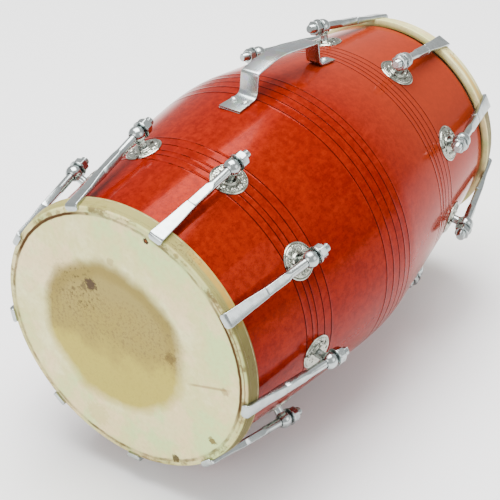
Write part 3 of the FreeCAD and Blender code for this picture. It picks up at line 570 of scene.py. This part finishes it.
def paste_marks(f, colour, on_head, across, height):
    """Yellow over the bass skin's paste, darker at its border, scuffed, specked and stained, with a thin line
    of painted shade for a wrinkle.
    """
    wobble = f.times(f.math("SUBTRACT", f.noise(26), 0.5), 0.022)
    reach = f.math("ADD", f.vector("DISTANCE", on_head, (0, 0.013, -0.002)), wobble)
    inside = f.ramp(f.math("DIVIDE", reach, 0.085), (0.80, 1.0), (0.94, 0.0))
    shade = f.math("ADD", f.times(height, 8.0), f.noise(24, 4, 0.6))
    tan = f.ramp(shade, (0.25, (0.42, 0.34, 0.060)), (0.5, (0.29, 0.220, 0.050)),
                 (0.85, (0.29, 0.225, 0.064)))
    colour = f.cover(colour, tan, inside, 0.96)
    colour = f.cover(colour, (0.21, 0.155, 0.034), f.near(reach, 0.067, 0.004, 0.007),
                     f.ramp(height, (0.0, 0.0), (0.03, 0.5)))
    scuff = f.ramp(f.noise(300, 4, 0.7), (0.50, 0.0), (0.62, 1.0))
    band = f.math("ADD", f.times(f.near(height, 0.012, 0.016, 0.02), 0.35), 0.12)
    colour = f.cover(colour, (0.13, 0.085, 0.045), scuff, inside, band)
    from_corner = f.math("DIVIDE", f.vector("DISTANCE", on_head, (0, 0.046, 0.036)), 0.034)
    specks = f.ramp(f.noise(330, 4, 0.75), (0.56, 0.0), (0.62, 1.0))
    colour = f.cover(colour, (0.055, 0.03, 0.018), specks, f.ramp(from_corner, (0.4, 1.0), (1.0, 0.0)), 0.8)
    torn = f.math("SUBTRACT", f.noise(260, 4, 0.75), 0.5)
    for (side, rise), size, tone, share in STAINS:
        away = f.vector("DISTANCE", on_head, (0, side * MM, rise * MM))
        away = f.math("ADD", away, f.times(torn, size * 2.4 * MM))
        mask = f.ramp(f.math("DIVIDE", away, size * 1.6 * MM), (0.48, 1.0), (0.70, 0.0))
        colour = f.cover(colour, tone, mask, share)
    # Painted shade of a wrinkle: a thin slanted brown line across the skin, which has no fold there.
    slant = f.math("ADD", height, f.times(across, 0.25))
    return f.cover(colour, (0.25, 0.15, 0.055), f.near(slant, -0.036, 0.0007, 0.001),
                   f.near(across, -0.088, 0.016, 0.008), 0.6)


def rim_marks(f, colour, head, back, radius, azimuth):
    """Age along the rim: folds and grime, then a dull, rusted, cracked collar."""
    aged = 0.9 if head is bass else 0.2
    wave = f.times(f.math("SUBTRACT", f.noise(60, 3), 0.5), 0.0022)
    edge = f.math("ADD", f.math("SUBTRACT", radius, head.collar * MM), wave)
    rim = f.ramp(f.times(f.math("ADD", edge, 0.009), 60), (0.0, 0.0), (0.45, 1.0))
    old = f.ramp(f.noise(24, 4, 0.6), (0.38, 0.35), (0.62, 1.0))
    colour = f.cover(colour, (0.32, 0.26, 0.075), rim, old, aged * 0.6)
    worn = f.math("MAXIMUM", f.near(azimuth, -0.75, 0.35, 0.3), f.near(azimuth, 1.42, 0.35, 0.3))
    worn = f.math("MAXIMUM", worn, f.ramp(f.noise(40, 4, 0.7), (0.42, 0.15), (0.62, 0.8)))
    colour = f.cover(colour, (0.075, 0.036, 0.012), f.near(edge, -0.0054, 0.0011, 0.0007), worn)
    grime = f.ramp(f.noise(48, 6, 0.75, f.stretch((2.5, 1, 1))), (0.50, 0.0), (0.60, 0.9))
    beyond = f.math("MULTIPLY", f.math("ADD", edge, 0.006), 400, clamp=True)
    colour = f.cover(colour, (0.12, 0.075, 0.024), grime, beyond, aged)
    colour = f.cover(colour, (0.16, 0.085, 0.035), f.near(edge, -0.0016, 0.0004, 0.0004),
                     f.near(azimuth, 1.4, 0.42, 0.2), 0.7)
    lapped = f.near(back, 0.0075, 0.0062, 0.0012)
    colour = f.cover(colour, (0.215, 0.19, 0.054), lapped, aged)
    colour = f.cover(colour, (0.075, 0.058, 0.022), lapped, f.near(azimuth, 1.7, 0.45, 0.45), 0.75)
    colour = f.cover(colour, (0.42, 0.24, 0.035), f.near(back, 0.0095, 0.002, 0.002),
                     f.near(azimuth, 0.84, 0.2, 0.12), 0.75)
    cracks = f.math("MAXIMUM", f.near(azimuth, 0.54, 0.1, 0.05), f.near(azimuth, 1.4, 0.1, 0.05))
    return f.cover(colour, (0.08, 0.045, 0.02), f.near(back, 0.0065, 0.0045, 0.001),
                   f.near(f.noise(500, 3, 0.7), 0.62, 0.02, 0.03), cracks, 0.8)


def rawhide(head):
    """Stretched skin: cream and mottled, marked by the paste on the bass head, and aged along its rim."""
    f = Finish(head.name + "_rawhide", Specular_IOR_Level=0.06)
    along, across, up = f.parts()
    height = f.math("SUBTRACT", up, AXIS * MM)
    back = f.math("ADD", f.times(along, -head.sign), head.face * MM)
    flat = f.node("ShaderNodeCombineXYZ")
    f.link(across, flat.inputs[1])
    f.link(height, flat.inputs[2])
    on_head = flat.outputs[0]
    cloud = f.noise(15, 5, 0.6)
    blush = f.noise(24, 4, 0.6, f.stretch((1, 1, 1), (3, 1, 2)))
    fine = f.noise(220, 4, 0.65)
    pores = f.noise(1400, 2, 0.5)
    colour = f.ramp(cloud, (0.40, (0.57, 0.70, 0.29)), (0.50, (0.68, 0.63, 0.28)), (0.60, (0.80, 0.76, 0.40)))
    colour = f.cover(colour, (0.86, 0.62, 0.36), f.ramp(blush, (0.50, 0.0), (0.60, 0.55)))
    colour = f.cover(colour, (0.54, 0.46, 0.21), f.ramp(fine, (0.45, 0.0), (0.75, 0.4)))
    if head is bass:
        colour = paste_marks(f, colour, on_head, across, height)
    colour = rim_marks(f, colour, head, back, f.vector("LENGTH", on_head), f.azimuth(across, height))
    f.lay("Base Color", colour)
    f.lay("Roughness", f.ramp(cloud, (0.3, 0.50), (0.7, 0.64)))
    f.lay("Normal", f.bump(pores, 0.15, 0.0002, f.bump(fine, 0.25, 0.0004)))
    return f.material


LACQUER = lacquer()
GROOVE = groove_lacquer()
WOOD = bare_wood()
PLATED = plated("plated_steel", (0.40, 0.435, 0.43), (0.23, 0.255, 0.25), (0.14, 0.30))
ROSETTE = plated("pressed_rosette", (0.40, 0.41, 0.35), (0.11, 0.12, 0.09), (0.08, 0.22))
PLAIN = plated("plain_steel", (0.42, 0.43, 0.42), (0.28, 0.28, 0.27), (0.3, 0.45))
ZINC = galvanised()
CREASE = two_tone("skin_crease", (140, 4, (0.35, (0.20, 0.12, 0.05)), (0.65, (0.52, 0.40, 0.22))),
                  (200, 2, (0.3, 0.6), (0.7, 0.75)))
IRON = two_tone("dull_iron", (90, 4, (0.3, (0.10, 0.09, 0.08)), (0.7, (0.20, 0.16, 0.12))),
                (200, 3, (0.3, 0.5), (0.7, 0.7)), Metallic=0.8)
PASTE = two_tone("tuning_paste", (120, 4, (0.3, (0.20, 0.13, 0.05)), (0.7, (0.34, 0.25, 0.11))),
                 (300, 3, (0.3, 0.6), (0.7, 0.8)))


# The turned barrel

GROOVES = (-139.5, -131.4, -124.9, -115.8, -106.3, -27.7, -17.4, -7.6, 1.6, 10.6,
           88.3, 95, 101.1, 108.8, 116.4)

# Materials of the barrel, and the shape across a groove: offset along the drum, depth and material.
OUTSIDE, DARK, BARE = 0, 1, 2
GROOVE_SHAPE = ((-0.72, 0, OUTSIDE), (-0.58, -0.04, OUTSIDE), (-0.48, 0, DARK), (-0.25, 0.5, DARK),
                (0, 0.6, DARK), (0.25, 0.5, DARK), (0.48, 0, OUTSIDE), (0.58, -0.04, OUTSIDE),
                (0.72, 0, OUTSIDE))


def barrel_radius(place):
    return treble.radius(place) if place >= -BELLY_AT else bass.radius(-place)


def outer_profile():
    """The lacquered face from the bass rim to the treble one, with its grooves, and its materials."""
    start, end = -bass.over, treble.over
    steps = 150
    places = {}
    for number in range(steps + 1):
        place = start + (end - start) * number / steps
        if all(abs(place - groove) > 1 for groove in GROOVES):
            places[place] = (0, OUTSIDE)
    for groove in GROOVES:
        for offset, depth, finish in GROOVE_SHAPE:
            places[groove + offset] = (depth, finish)
    profile = [(place, barrel_radius(place) - places[place][0]) for place in sorted(places)]
    finishes = [places[place][1] for place in sorted(places)]
    finishes[-1] = BARE
    return profile, finishes


def make_barrel():
    rim_end = LENGTH / 2 - SKIN - SEAT

    def rim(head):
        corners = [(head.over, head.radius(head.over)), (head.step, head.mouth), (rim_end, head.mouth),
                   (rim_end, head.radius(rim_end) - WALL)]
        return rounded(corners, [0, 0.3, 3, 1], 5)[1:-1]

    profile, finishes = outer_profile()
    inner_places = [rim_end - 2 * rim_end * number / 24 for number in range(25)]
    inner = [(place, barrel_radius(place) - WALL) for place in inner_places]
    bass_rim = [(-along, radius) for along, radius in reversed(rim(bass))]
    for part in (rim(treble), inner, bass_rim):
        profile += part
        finishes += [BARE] * len(part)
    net = Net()
    net.add(turned(profile, 240), Matrix.Translation((0, 0, AXIS * MM)), closed=True, finishes=finishes)
    piece = net.make("barrel_lacquered", [LACQUER, GROOVE, WOOD], 50)
    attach(piece, "drum")
    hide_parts("shell")


# The skins, each lapped over its hoop

# Ends of the lapped strips round the collar: place in degrees and height.
SEAMS = ((38, 1.0), (71, 0.6), (118, 0.9), (163, 1.0), (197, 0.7), (242, 1.0), (288, 0.8), (331, 1.0))


def seams(turn, along):
    """Sharp small steps at the seams, which slant along the collar and run out over some degrees."""
    run_out = 9
    value = 0.0
    degrees = math.degrees(turn) % 360
    for place, size in SEAMS:
        off = (degrees - place - along * 0.4 + 180) % 360 - 180
        if 0 <= off < run_out:
            value += size * (1 - off / run_out)
    return value


def hide_bumps(head, flat_edge, along, radius, turn):
    """How far a point is lifted off the skin's face, and how far it is pushed out of the collar."""
    seed = 3.7 if head is bass else 9.1
    across, up = math.cos(turn), math.sin(turn)
    lift = push = 0.0
    if along > -0.3 and radius < flat_edge:
        lift = 0.16 * ripple(across * radius, up * radius, 0, 0.022, seed)
        lift += 0.05 * ripple(across * radius, up * radius, 0, 0.12, seed)
    elif along < -4.2:
        band = math.sin(math.pi * min(max((-along - 4) / (head.depth - 4.6), 0), 1))
        push = band * (0.30 * ripple(across * 9, up * 9, along * 0.12, 1, seed)
                       + 0.22 * ripple(across * 30, up * 30, along * 0.2, 1, seed + 5)
                       + 0.3 * seams(turn, along))
    if radius > flat_edge - 6:
        lift += 0.12 * ripple(across * 14, up * 14, 0, 1, seed + 2)
    return lift, push


def make_skin(head):
    """From its centre to a fold near the rim, over the hoop's edge, along the collar and in behind."""
    slope = math.tan(head.lean)
    flat_edge = head.collar - SKIN_ROUND / math.tan((math.pi / 2 + head.lean) / 2)
    wide = head.depth

    def over(inward):
        return head.collar + inward * slope

    profile = [(0, radius) for radius in (14, 30, 46, 60, 72, 82, 90, 98, 105, 111, 116)
               if radius < flat_edge - 8]
    fold = head.collar - 5.6
    profile += [(0, fold - 0.8), (-0.10, fold), (-0.30, fold + 0.35), (-0.08, fold + 0.8),
                (0.14, fold + 1.3), (0.20, fold + 1.9), (0.04, flat_edge)]
    profile += rounded([(0, flat_edge - 1), (0, head.collar), (-8, over(8))], [0, SKIN_ROUND, 0], 6)[2:-2]
    for inward, dip in ((3.1, 0), (3.5, 0.14), (3.75, 0.2), (4.0, 0.1)):
        profile.append((-inward, over(inward) - dip))
    for number in range(1, 9):
        inward = 4.0 + (wide - 1.2 - 4.0) * (number / 9)
        profile.append((-inward, over(inward)))
    profile += [(-wide + 1.0, over(wide - 1.0)), (-wide + 0.7, over(wide) - 0.12),
                (-wide + 0.45, over(wide) + 0.05), (-wide + 0.1, over(wide) + 0.1),
                (-wide, over(wide) - 0.3), (-wide, over(wide) - 2.5),
                (-wide + 0.1, over(wide) - SKIN - HOOP_WALL)]
    creases = (-3.5, -3.75, -wide + 0.7)
    count = 360
    rows = []
    for along, radius in profile:
        row = []
        for spot in range(count):
            turn = 2 * math.pi * spot / count
            lift, push = hide_bumps(head, flat_edge, along, radius, turn)
            row.append((head.face + along + lift, (radius + push) * math.cos(turn),
                        (radius + push) * math.sin(turn)))
        rows.append(row)
    net = Net()
    finishes = [int(along in creases) for along, _ in profile]
    net.add(rows, head.on_drum(), caps=(True, False), finishes=finishes)
    skin = net.make(head.name + "_rawhide_head", [rawhide(head), CREASE], 60)
    thick = skin.modifiers.new("thickness", "SOLIDIFY")
    thick.thickness = 0.9 * MM
    thick.offset = -1
    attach(skin, "drum")
    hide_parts(head.name + "_skin")


# Tension hooks, eye bolts, rosettes, nuts and washers

def thread(start, end):
    """Rings of a threaded rod from its chamfered end along X."""
    count, root, chamfer = 32, 0.55, 0.8
    steps = int((end - start) / PITCH * 8)
    rows = []
    for number in range(steps + 1):
        along = start + (end - start) * number / steps
        row = []
        for spot in range(count):
            turn = 2 * math.pi * spot / count
            wave = abs(((along / PITCH - spot / count) % 1) * 2 - 1)
            radius = ROD - root * wave
            if along - start < chamfer:
                radius = min(radius, ROD - chamfer + (along - start))
            row.append((along, radius * math.cos(turn), radius * math.sin(turn)))
        rows.append(row)
    return rows


def hook_stations(head, tail):
    """Sections along a hook: the spots on its two faces, its width and the radius of its corners."""
    lean = head.lean
    half_blade = BLADE / 2
    out = Vector((math.cos(lean), math.sin(lean)))
    down = Vector((math.sin(lean), -math.cos(lean)))
    inside = head.face + CLAW_GAP - head.eye_place
    inner = Vector((inside / math.cos(lean) + half_blade * math.tan(lean), -half_blade))
    outer = Vector(((inside + LIP) / math.cos(lean) - half_blade * math.tan(lean), half_blade))
    start = outer.x - BLADE_LONG
    bar = start - BAR_LONG
    stations = []

    def straight(along, thick, wide, soft):
        stations.append((Vector((along, -thick / 2)), Vector((along, thick / 2)), wide, soft))

    for along in (-tail + STUB + 1.6, 0, 8, bar - 2.5):
        straight(along, 2 * ROD, 2 * ROD, ROD)
    for share in (0.25, 0.5, 0.75):
        straight(bar - 2.5 + share * 5, 2 * (ROD + (BAR_THICK / 2 - ROD) * share), 8 + 0.2 * share,
                 ROD * (1 - share) + share)
    for section in (
            (bar + 2.5, BAR_THICK, BAR_WIDE, 1.0), (bar + 9, BAR_THICK, BAR_WIDE, 0.9),
            (start - 6, BAR_THICK, 8.3, 0.9), (start - 0.9, BAR_THICK, 8.3, 0.9),
            (start - 0.3, 6.1, 7.8, 0.8), (start + 0.2, 6.7, SHOULDER_WIDE, 0.7),
            (start + 1.0, BAR_THICK, 9.0, 0.7)):
        straight(*section)

    def bent(corner, radius):
        ends = tuple(corner - Vector((12, 0))), tuple(corner + down * 12)
        return rounded([ends[0], tuple(corner), ends[1]], [0, radius, 0], 8)[1:-1]

    outline, hollow = bent(outer, CLAW_ROUND), bent(inner, CLAW_HOLLOW)
    reach = outline[0][0]
    for number in range(2, 13):
        share = number / 13
        thinned = (BAR_THICK - BLADE) * blend_value(0, 0.55, share)
        widened = (CLAW_WIDE - SHOULDER_WIDE) * share
        straight(start + (reach - start) * share, BAR_THICK - thinned, SHOULDER_WIDE + widened, 0.7)
    for far, near in zip(outline, hollow):
        stations.append((Vector(near), Vector(far), CLAW_WIDE, 0.7))
    lip_in = inner + down * LIP_LONG
    lip_out = lip_in + out * LIP
    bend_in, bend_out = Vector(hollow[-1]), Vector(outline[-1])
    for share, wide in ((0.35, 13.4), (0.6, 12.4), (0.85, 11.0), (0.96, 10.2)):
        stations.append((bend_in.lerp(lip_in, share), bend_out.lerp(lip_out, share), wide, 0.8))
    middle = (lip_in + lip_out) / 2
    stations.append((middle.lerp(lip_in, 0.6), middle.lerp(lip_out, 0.6), 9.0, 0.6))
    return stations, bar


def hook_net(head):
    """Forged hook, its origin in the eye, +X along the rod to the claw."""
    tail = NUT_START + NUT_HIGH + STUB
    stations, bar = hook_stations(head, tail)
    rows = []
    for number, (near, far, wide, soft) in enumerate(stations):
        middle = (near + far) / 2
        thick = (far - near).length
        arm = (far - near).normalized()
        wobble = 0.10 * ripple(number * 0.7, middle.x * 0.3, 0, 1, 2.3) if middle.x > bar else 0
        rows.append([(middle.x + arm.x * up, across, middle.y + arm.y * up)
                     for across, up in soft_box(wide + wobble, thick + wobble * 0.6, soft)])
    net = Net()
    net.add(thread(-tail, -tail + STUB + 2), caps=(True, False))
    net.add(rows, caps=(True, True))
    return net


def nut_net():
    """Hexagon nut along -X from the origin, its corners turned off at both faces."""
    count = 96
    flat = NUT_FLATS / 2
    corner = flat / math.cos(math.pi / 6)
    face = ((0.5, NUT_BORE), (0, NUT_BORE + 0.3), (0, (NUT_BORE + flat) / 2))
    rows = [ring(radius, -inset, count) for inset, radius in face]
    for level in (0, 0.15, 0.4, 0.7, 1.1, 1.6, 2.4, 3.25, 4.1, 4.9, 5.4, 5.8, 6.1, 6.35, NUT_HIGH):
        cone = corner - 1.15 + min(level, NUT_HIGH - level) * 1.75
        row = []
        for spot in range(count):
            turn = 2 * math.pi * spot / count
            wedge = turn % (math.pi / 3) - math.pi / 6
            radius = flat / math.cos(wedge)
            radius -= 0.16 * blend_value(0.42, math.pi / 6, abs(wedge))
            radius = min(radius, cone)
            row.append((-level, radius * math.cos(turn), radius * math.sin(turn)))
        rows.append(row)
    rows += [ring(radius, inset - NUT_HIGH, count) for inset, radius in reversed(face)]
    net = Net()
    net.add(rows, closed=True)
    return net


def ball_profile():
    """A bored ball, its bore's edges eased."""
    steps = 9
    half = math.acos((BORE + 0.25) / EYE)
    turns = [half * (step / steps - 1) for step in range(2 * steps + 1)]
    arc = [(EYE * math.sin(turn), EYE * math.cos(turn)) for turn in turns]
    end = arc[-1][0]
    return arc + [(end - 0.05, BORE + 0.05), (end - 0.4, BORE), (0.4 - end, BORE), (0.05 - end, BORE + 0.05)]


def make_eye_bolts(head):
    """Bored balls, whose stems go through the wall, an inner washer and an inner nut."""
    foot = WALL + INNER_SEAT + INNER_WASHER + NUT_HIGH + STEM_TAIL
    ball = turned(ball_profile(), 56)
    stem = turned([(-foot, 3.2), (-foot + 0.8, ROD), (4.0, ROD), (7.0, ROD), (7.9, 4.12), (8.6, 4.45),
                   (9.3, 4.7)], 40, "Z")
    net = Net()
    for number in range(1, BOLTS + 1):
        net.add(ball, head.rod_place(number), closed=True)
        net.add(stem, head.stem_place(number), caps=(True, True))
    piece = net.make(head.name + "_eye_bolts_forged", [PLATED])
    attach(piece, "drum")
    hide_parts(head.name + "_eye_bolts")


def rosette_height(radius, turn):
    """Pressed relief: raised cup, a ring of curled leaves, beads, and a rolled rim."""
    height = 2.8 - 1.7 * blend_value(6.6, 7.9, radius) + 0.4 * blend_value(8.4, 11.4, radius)
    height -= 1.0 * blend_value(14.0, 14.7, radius)
    curl = turn * 10 + 2.4 * math.sin((radius - 8.2) * 0.62)
    leaf = (0.5 + 0.5 * math.cos(curl)) ** 1.6
    vein = 0.35 * math.exp(-(math.remainder(curl, 2 * math.pi) / 0.28) ** 2)
    band = blend_value(8.1, 9.0, radius) * (1 - blend_value(12.4, 13.2, radius))
    height += band * (0.95 * leaf - vein - 0.15)
    bead = 0.45 * max(math.cos(turn * 30), 0) ** 0.6 * math.exp(-((radius - 13.6) / 0.55) ** 2)
    rim = 0.75 * math.exp(-((radius - 15.6) / 0.62) ** 2)
    return height + bead + rim


def make_rosettes(head):
    """Discs pressed from sheet, bent a little to the barrel on either side of their middle line."""
    count = 180

    def sag(y):
        return y * y / (2 * head.foot) * 0.8

    rows = []
    for reach in [STEM_HOLE, 5, 6] + [6.5 + 0.3 * step for step in range(33)] + [16.3, 16.5]:
        rows.append(relief(reach, count, lambda x, y, turn: rosette_height(reach, turn) - sag(y)))
    for reach, height in ((16.5, 0.12), (15.6, 0.12), (7, 0.9), (STEM_HOLE, 0.9)):
        rows.append(relief(reach, count, lambda x, y, turn: height - sag(y)))
    net = Net()
    for number in range(1, BOLTS + 1):
        net.add(rows, head.stem_place(number), closed=True)
    piece = net.make(head.name + "_rosettes_pressed", [ROSETTE], 50)
    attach(piece, "drum")
    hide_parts(head.name + "_rosettes")


def make_washers(head):
    """Punched washers behind the balls, their edges eased."""
    ease = 0.35
    back, front = -WASHER_AT - WASHER, -WASHER_AT
    rows = turned(rounded([(back, BORE), (front, BORE), (front, WASHER_RADIUS), (back, WASHER_RADIUS)],
                          [ease] * 4, 3, closed=True), 48)
    net = Net()
    for number in range(1, BOLTS + 1):
        net.add(rows, head.rod_place(number), closed=True)
    piece = net.make(head.name + "_washers_punched", [PLATED])
    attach(piece, "drum")
    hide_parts(head.name + "_washers")


def make_moving(head):
    """Each hook and each nut rides on a body of its own."""
    hook = hook_net(head)
    hexagon = nut_net()
    for number in range(1, BOLTS + 1):
        place = head.rod_place(number)
        name = "{}_hook_{}".format(head.name, number)
        piece = hook.make(name + "_forged", [PLATED])
        piece.matrix_world = place
        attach(piece, name)
        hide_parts(name)
        name = "{}_nut_{}".format(head.name, number)
        nut = hexagon.make(name + "_hexagon", [PLATED])
        nut.matrix_world = place @ Matrix.Translation((-NUT_START * MM, 0, 0))
        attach(nut, name)
        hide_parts(name)


# Handle and its screws

def handle_path():
    """Corners of the strip's lower face, along the drum and up from the axis."""
    near_end, near_bend, far_bend, far_end = [(place, barrel_radius(place) + FOOT_GAP)
                                              for place in (-58, -27, 63, 86)]
    return [near_end, near_bend, (near_bend[0] + 3, BELLY + 22), (7, BELLY + 26.3), (61, BELLY + 14.5),
            far_bend, far_end]


def foot_end(side):
    """Where the near foot is cut off at this side: askew, with a clipped corner, a little ragged."""
    ragged = 0.25 * ripple(side * 0.8, 0, 0, 1, 6.1)
    return between(side, [(-5.2, -52.7), (8.4, -56), (17.4, -53)]) + ragged


def make_handle():
    """The strip narrows from its near foot to its far one, and stands askew."""
    bends = [0, 7, 2.5, 81, 4, 7, 0]
    left_edge = [(-53, 17.4), (-24, 11.7), (63, 3.9), (88, -3.4)]
    right_edge = [(-52.7, -5.2), (88, -12.2)]
    line = dense(rounded(offset_line(handle_path(), STRIP / 2), bends, 10), 1.2)
    last = len(line) - 1
    rows = []
    for number, spot in enumerate(line):
        along = (line[min(number + 1, last)] - line[max(number - 1, 0)]).normalized()
        normal = Vector((-along.y, along.x))
        at_end = number in (0, last)
        left, right = between(spot.x, left_edge), between(spot.x, right_edge)
        row = []
        for across, up in soft_box(left - right, STRIP - 0.6 if at_end else STRIP, 0.9 if at_end else 0.45):
            side = (left + right) / 2 + across
            side += 0.12 * ripple(spot.x * 0.1, math.copysign(3, across), spot.y * 0.1, 1, 8.2)
            wave = 0.07 * ripple(spot.x * 0.06, side * 0.09, spot.y * 0.06, 1, 4.4)
            place = spot + normal * (up + wave)
            x = max(place.x, foot_end(side) + (0.15 if at_end else 0)) if spot.x < -40 else place.x
            row.append((x, side, place.y))
        rows.append(row)
    net = Net()
    net.add(rows, Matrix.Translation((0, 0, AXIS * MM)), caps=(True, True))
    piece = net.make("handle_bent_strip", [ZINC])
    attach(piece, "drum")
    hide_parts("handle")


def screw_places():
    """Two at the near foot and one at the far foot, square on the strip."""
    path = handle_path()
    for (tail, tip), place, sides in ((path[:2], -39, (-1.2, 10.8)), (path[-2:], 77, (-6.2,))):
        slope = (tip[1] - tail[1]) / (tip[0] - tail[0])
        square = Matrix.Rotation(-math.atan(slope), 4, "Y")
        for side in sides:
            height = AXIS + tail[1] + slope * (place - tail[0])
            under = Matrix.Translation((place * MM, side * MM, height * MM))
            yield under @ square @ Matrix.Translation((0, 0, (STRIP + SEAT) * MM))


def make_screws():
    """Domed heads, each with its slot turned by a spin of its own."""
    count = 96
    sphere = (SCREW_HEAD ** 2 + SCREW_DOME ** 2) / SCREW_DOME / 2

    def dome(x, y, spin):
        height = math.sqrt(sphere ** 2 - (x * x + y * y)) - sphere + SCREW_DOME
        slot = abs(x * math.sin(spin) - y * math.cos(spin))
        return height - 0.8 * (1 - blend_value(0.35, 0.5, slot)) * blend_value(0, 0.6, height)

    net = Net()
    for place, spin in zip(screw_places(), (0.4, 1.9, 2.7)):
        rows = turned([(-SCREW_LONG, SCREW_SHANK), (0, SCREW_SHANK), (0, 3.45), (0.12, SCREW_HEAD)],
                      count, "Z")
        for step in range(1, 20):
            rows.append(relief(SCREW_HEAD - 0.175 * step, count, lambda x, y, turn: dome(x, y, spin)))
        net.add(rows, place, caps=(True, True))
    piece = net.make("handle_screws_domed", [PLAIN])
    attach(piece, "drum")
    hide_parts("handle_screws")


make_barrel()
for head in (bass, treble):
    make_skin(head)
    make_eye_bolts(head)
    make_rosettes(head)
    make_washers(head)
    make_moving(head)
make_handle()
make_screws()

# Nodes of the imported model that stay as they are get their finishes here.
for name, material in (("bass_paste", PASTE), ("bass_hoop", IRON), ("treble_hoop", IRON),
                       ("bass_inner_washers", PLAIN), ("treble_inner_washers", PLAIN),
                       ("bass_inner_nuts", PLAIN), ("treble_inner_nuts", PLAIN)):
    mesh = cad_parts[name].data
    mesh.materials.clear()
    mesh.materials.append(material)


# Floor, light and camera, in metres

def make_floor():
    half, steps = 6.0, 8
    lines = [-half + 2 * half * step / steps for step in range(steps + 1)]
    count = len(lines)
    faces = []
    for a in range(steps):
        for b in range(a * count, a * count + steps):
            faces.append((b, b + count, b + count + 1, b + 1))
    mesh = bpy.data.meshes.new("floor")
    mesh.from_pydata([(x, y, 0) for x in lines for y in lines], [], faces)
    mesh.materials.append(two_tone("studio_floor", (3, 2, (0.3, 0.90), (0.7, 0.92)),
                                   (5, 2, (0.3, 0.85), (0.7, 0.9))))
    floor = bpy.data.objects.new("floor", mesh)
    bpy.context.scene.collection.objects.link(floor)


def add_light(name, place, size, power):
    """A white panel that faces the drum."""
    drum = Vector((0, 0, 0.15))
    data = bpy.data.lights.new(name, "AREA")
    data.shape = "RECTANGLE"
    data.size, data.size_y = size
    data.energy = power
    light = bpy.data.objects.new(name, data)
    light.location = place
    light.rotation_mode = "QUATERNION"
    light.rotation_quaternion = (drum - Vector(place)).to_track_quat("-Z", "Y")
    bpy.context.scene.collection.objects.link(light)


def make_world():
    world = bpy.data.worlds.new("studio")
    world.use_nodes = True
    back = [node for node in world.node_tree.nodes if node.type == "BACKGROUND"][0]
    back.inputs["Color"].default_value = (1, 1, 1, 1)
    back.inputs["Strength"].default_value = 0.9
    bpy.context.scene.world = world


def make_camera():
    """The photo's camera, fitted to the outlines of the two heads and to the bolts."""
    data = bpy.data.cameras.new("camera")
    data.sensor_width = 36
    data.lens = 142.7
    data.clip_start, data.clip_end = 0.05, 50
    fitted_axis = 159.678
    place = Vector((-1.2384, -0.8882, 1.1595 + (AXIS - fitted_axis) * MM))
    right = (0.5754, -0.8171, -0.0356)
    up = (0.4768, 0.2997, 0.8263)
    back = (-0.6645, -0.4924, 0.5621)
    camera = bpy.data.objects.new("camera", data)
    camera.matrix_world = Matrix.Translation(place) @ Matrix((right, up, back)).transposed().to_4x4()
    bpy.context.scene.collection.objects.link(camera)
    bpy.context.scene.camera = camera


make_floor()
make_world()
add_light("overhead", (0.1, 0.2, 1.9), (1.6, 1.6), 115)
add_light("front", (-1.9, 0.1, 0.9), (1.1, 1.1), 20)
add_light("side", (0.3, -1.7, 0.9), (1.2, 1.0), 11)
make_camera()
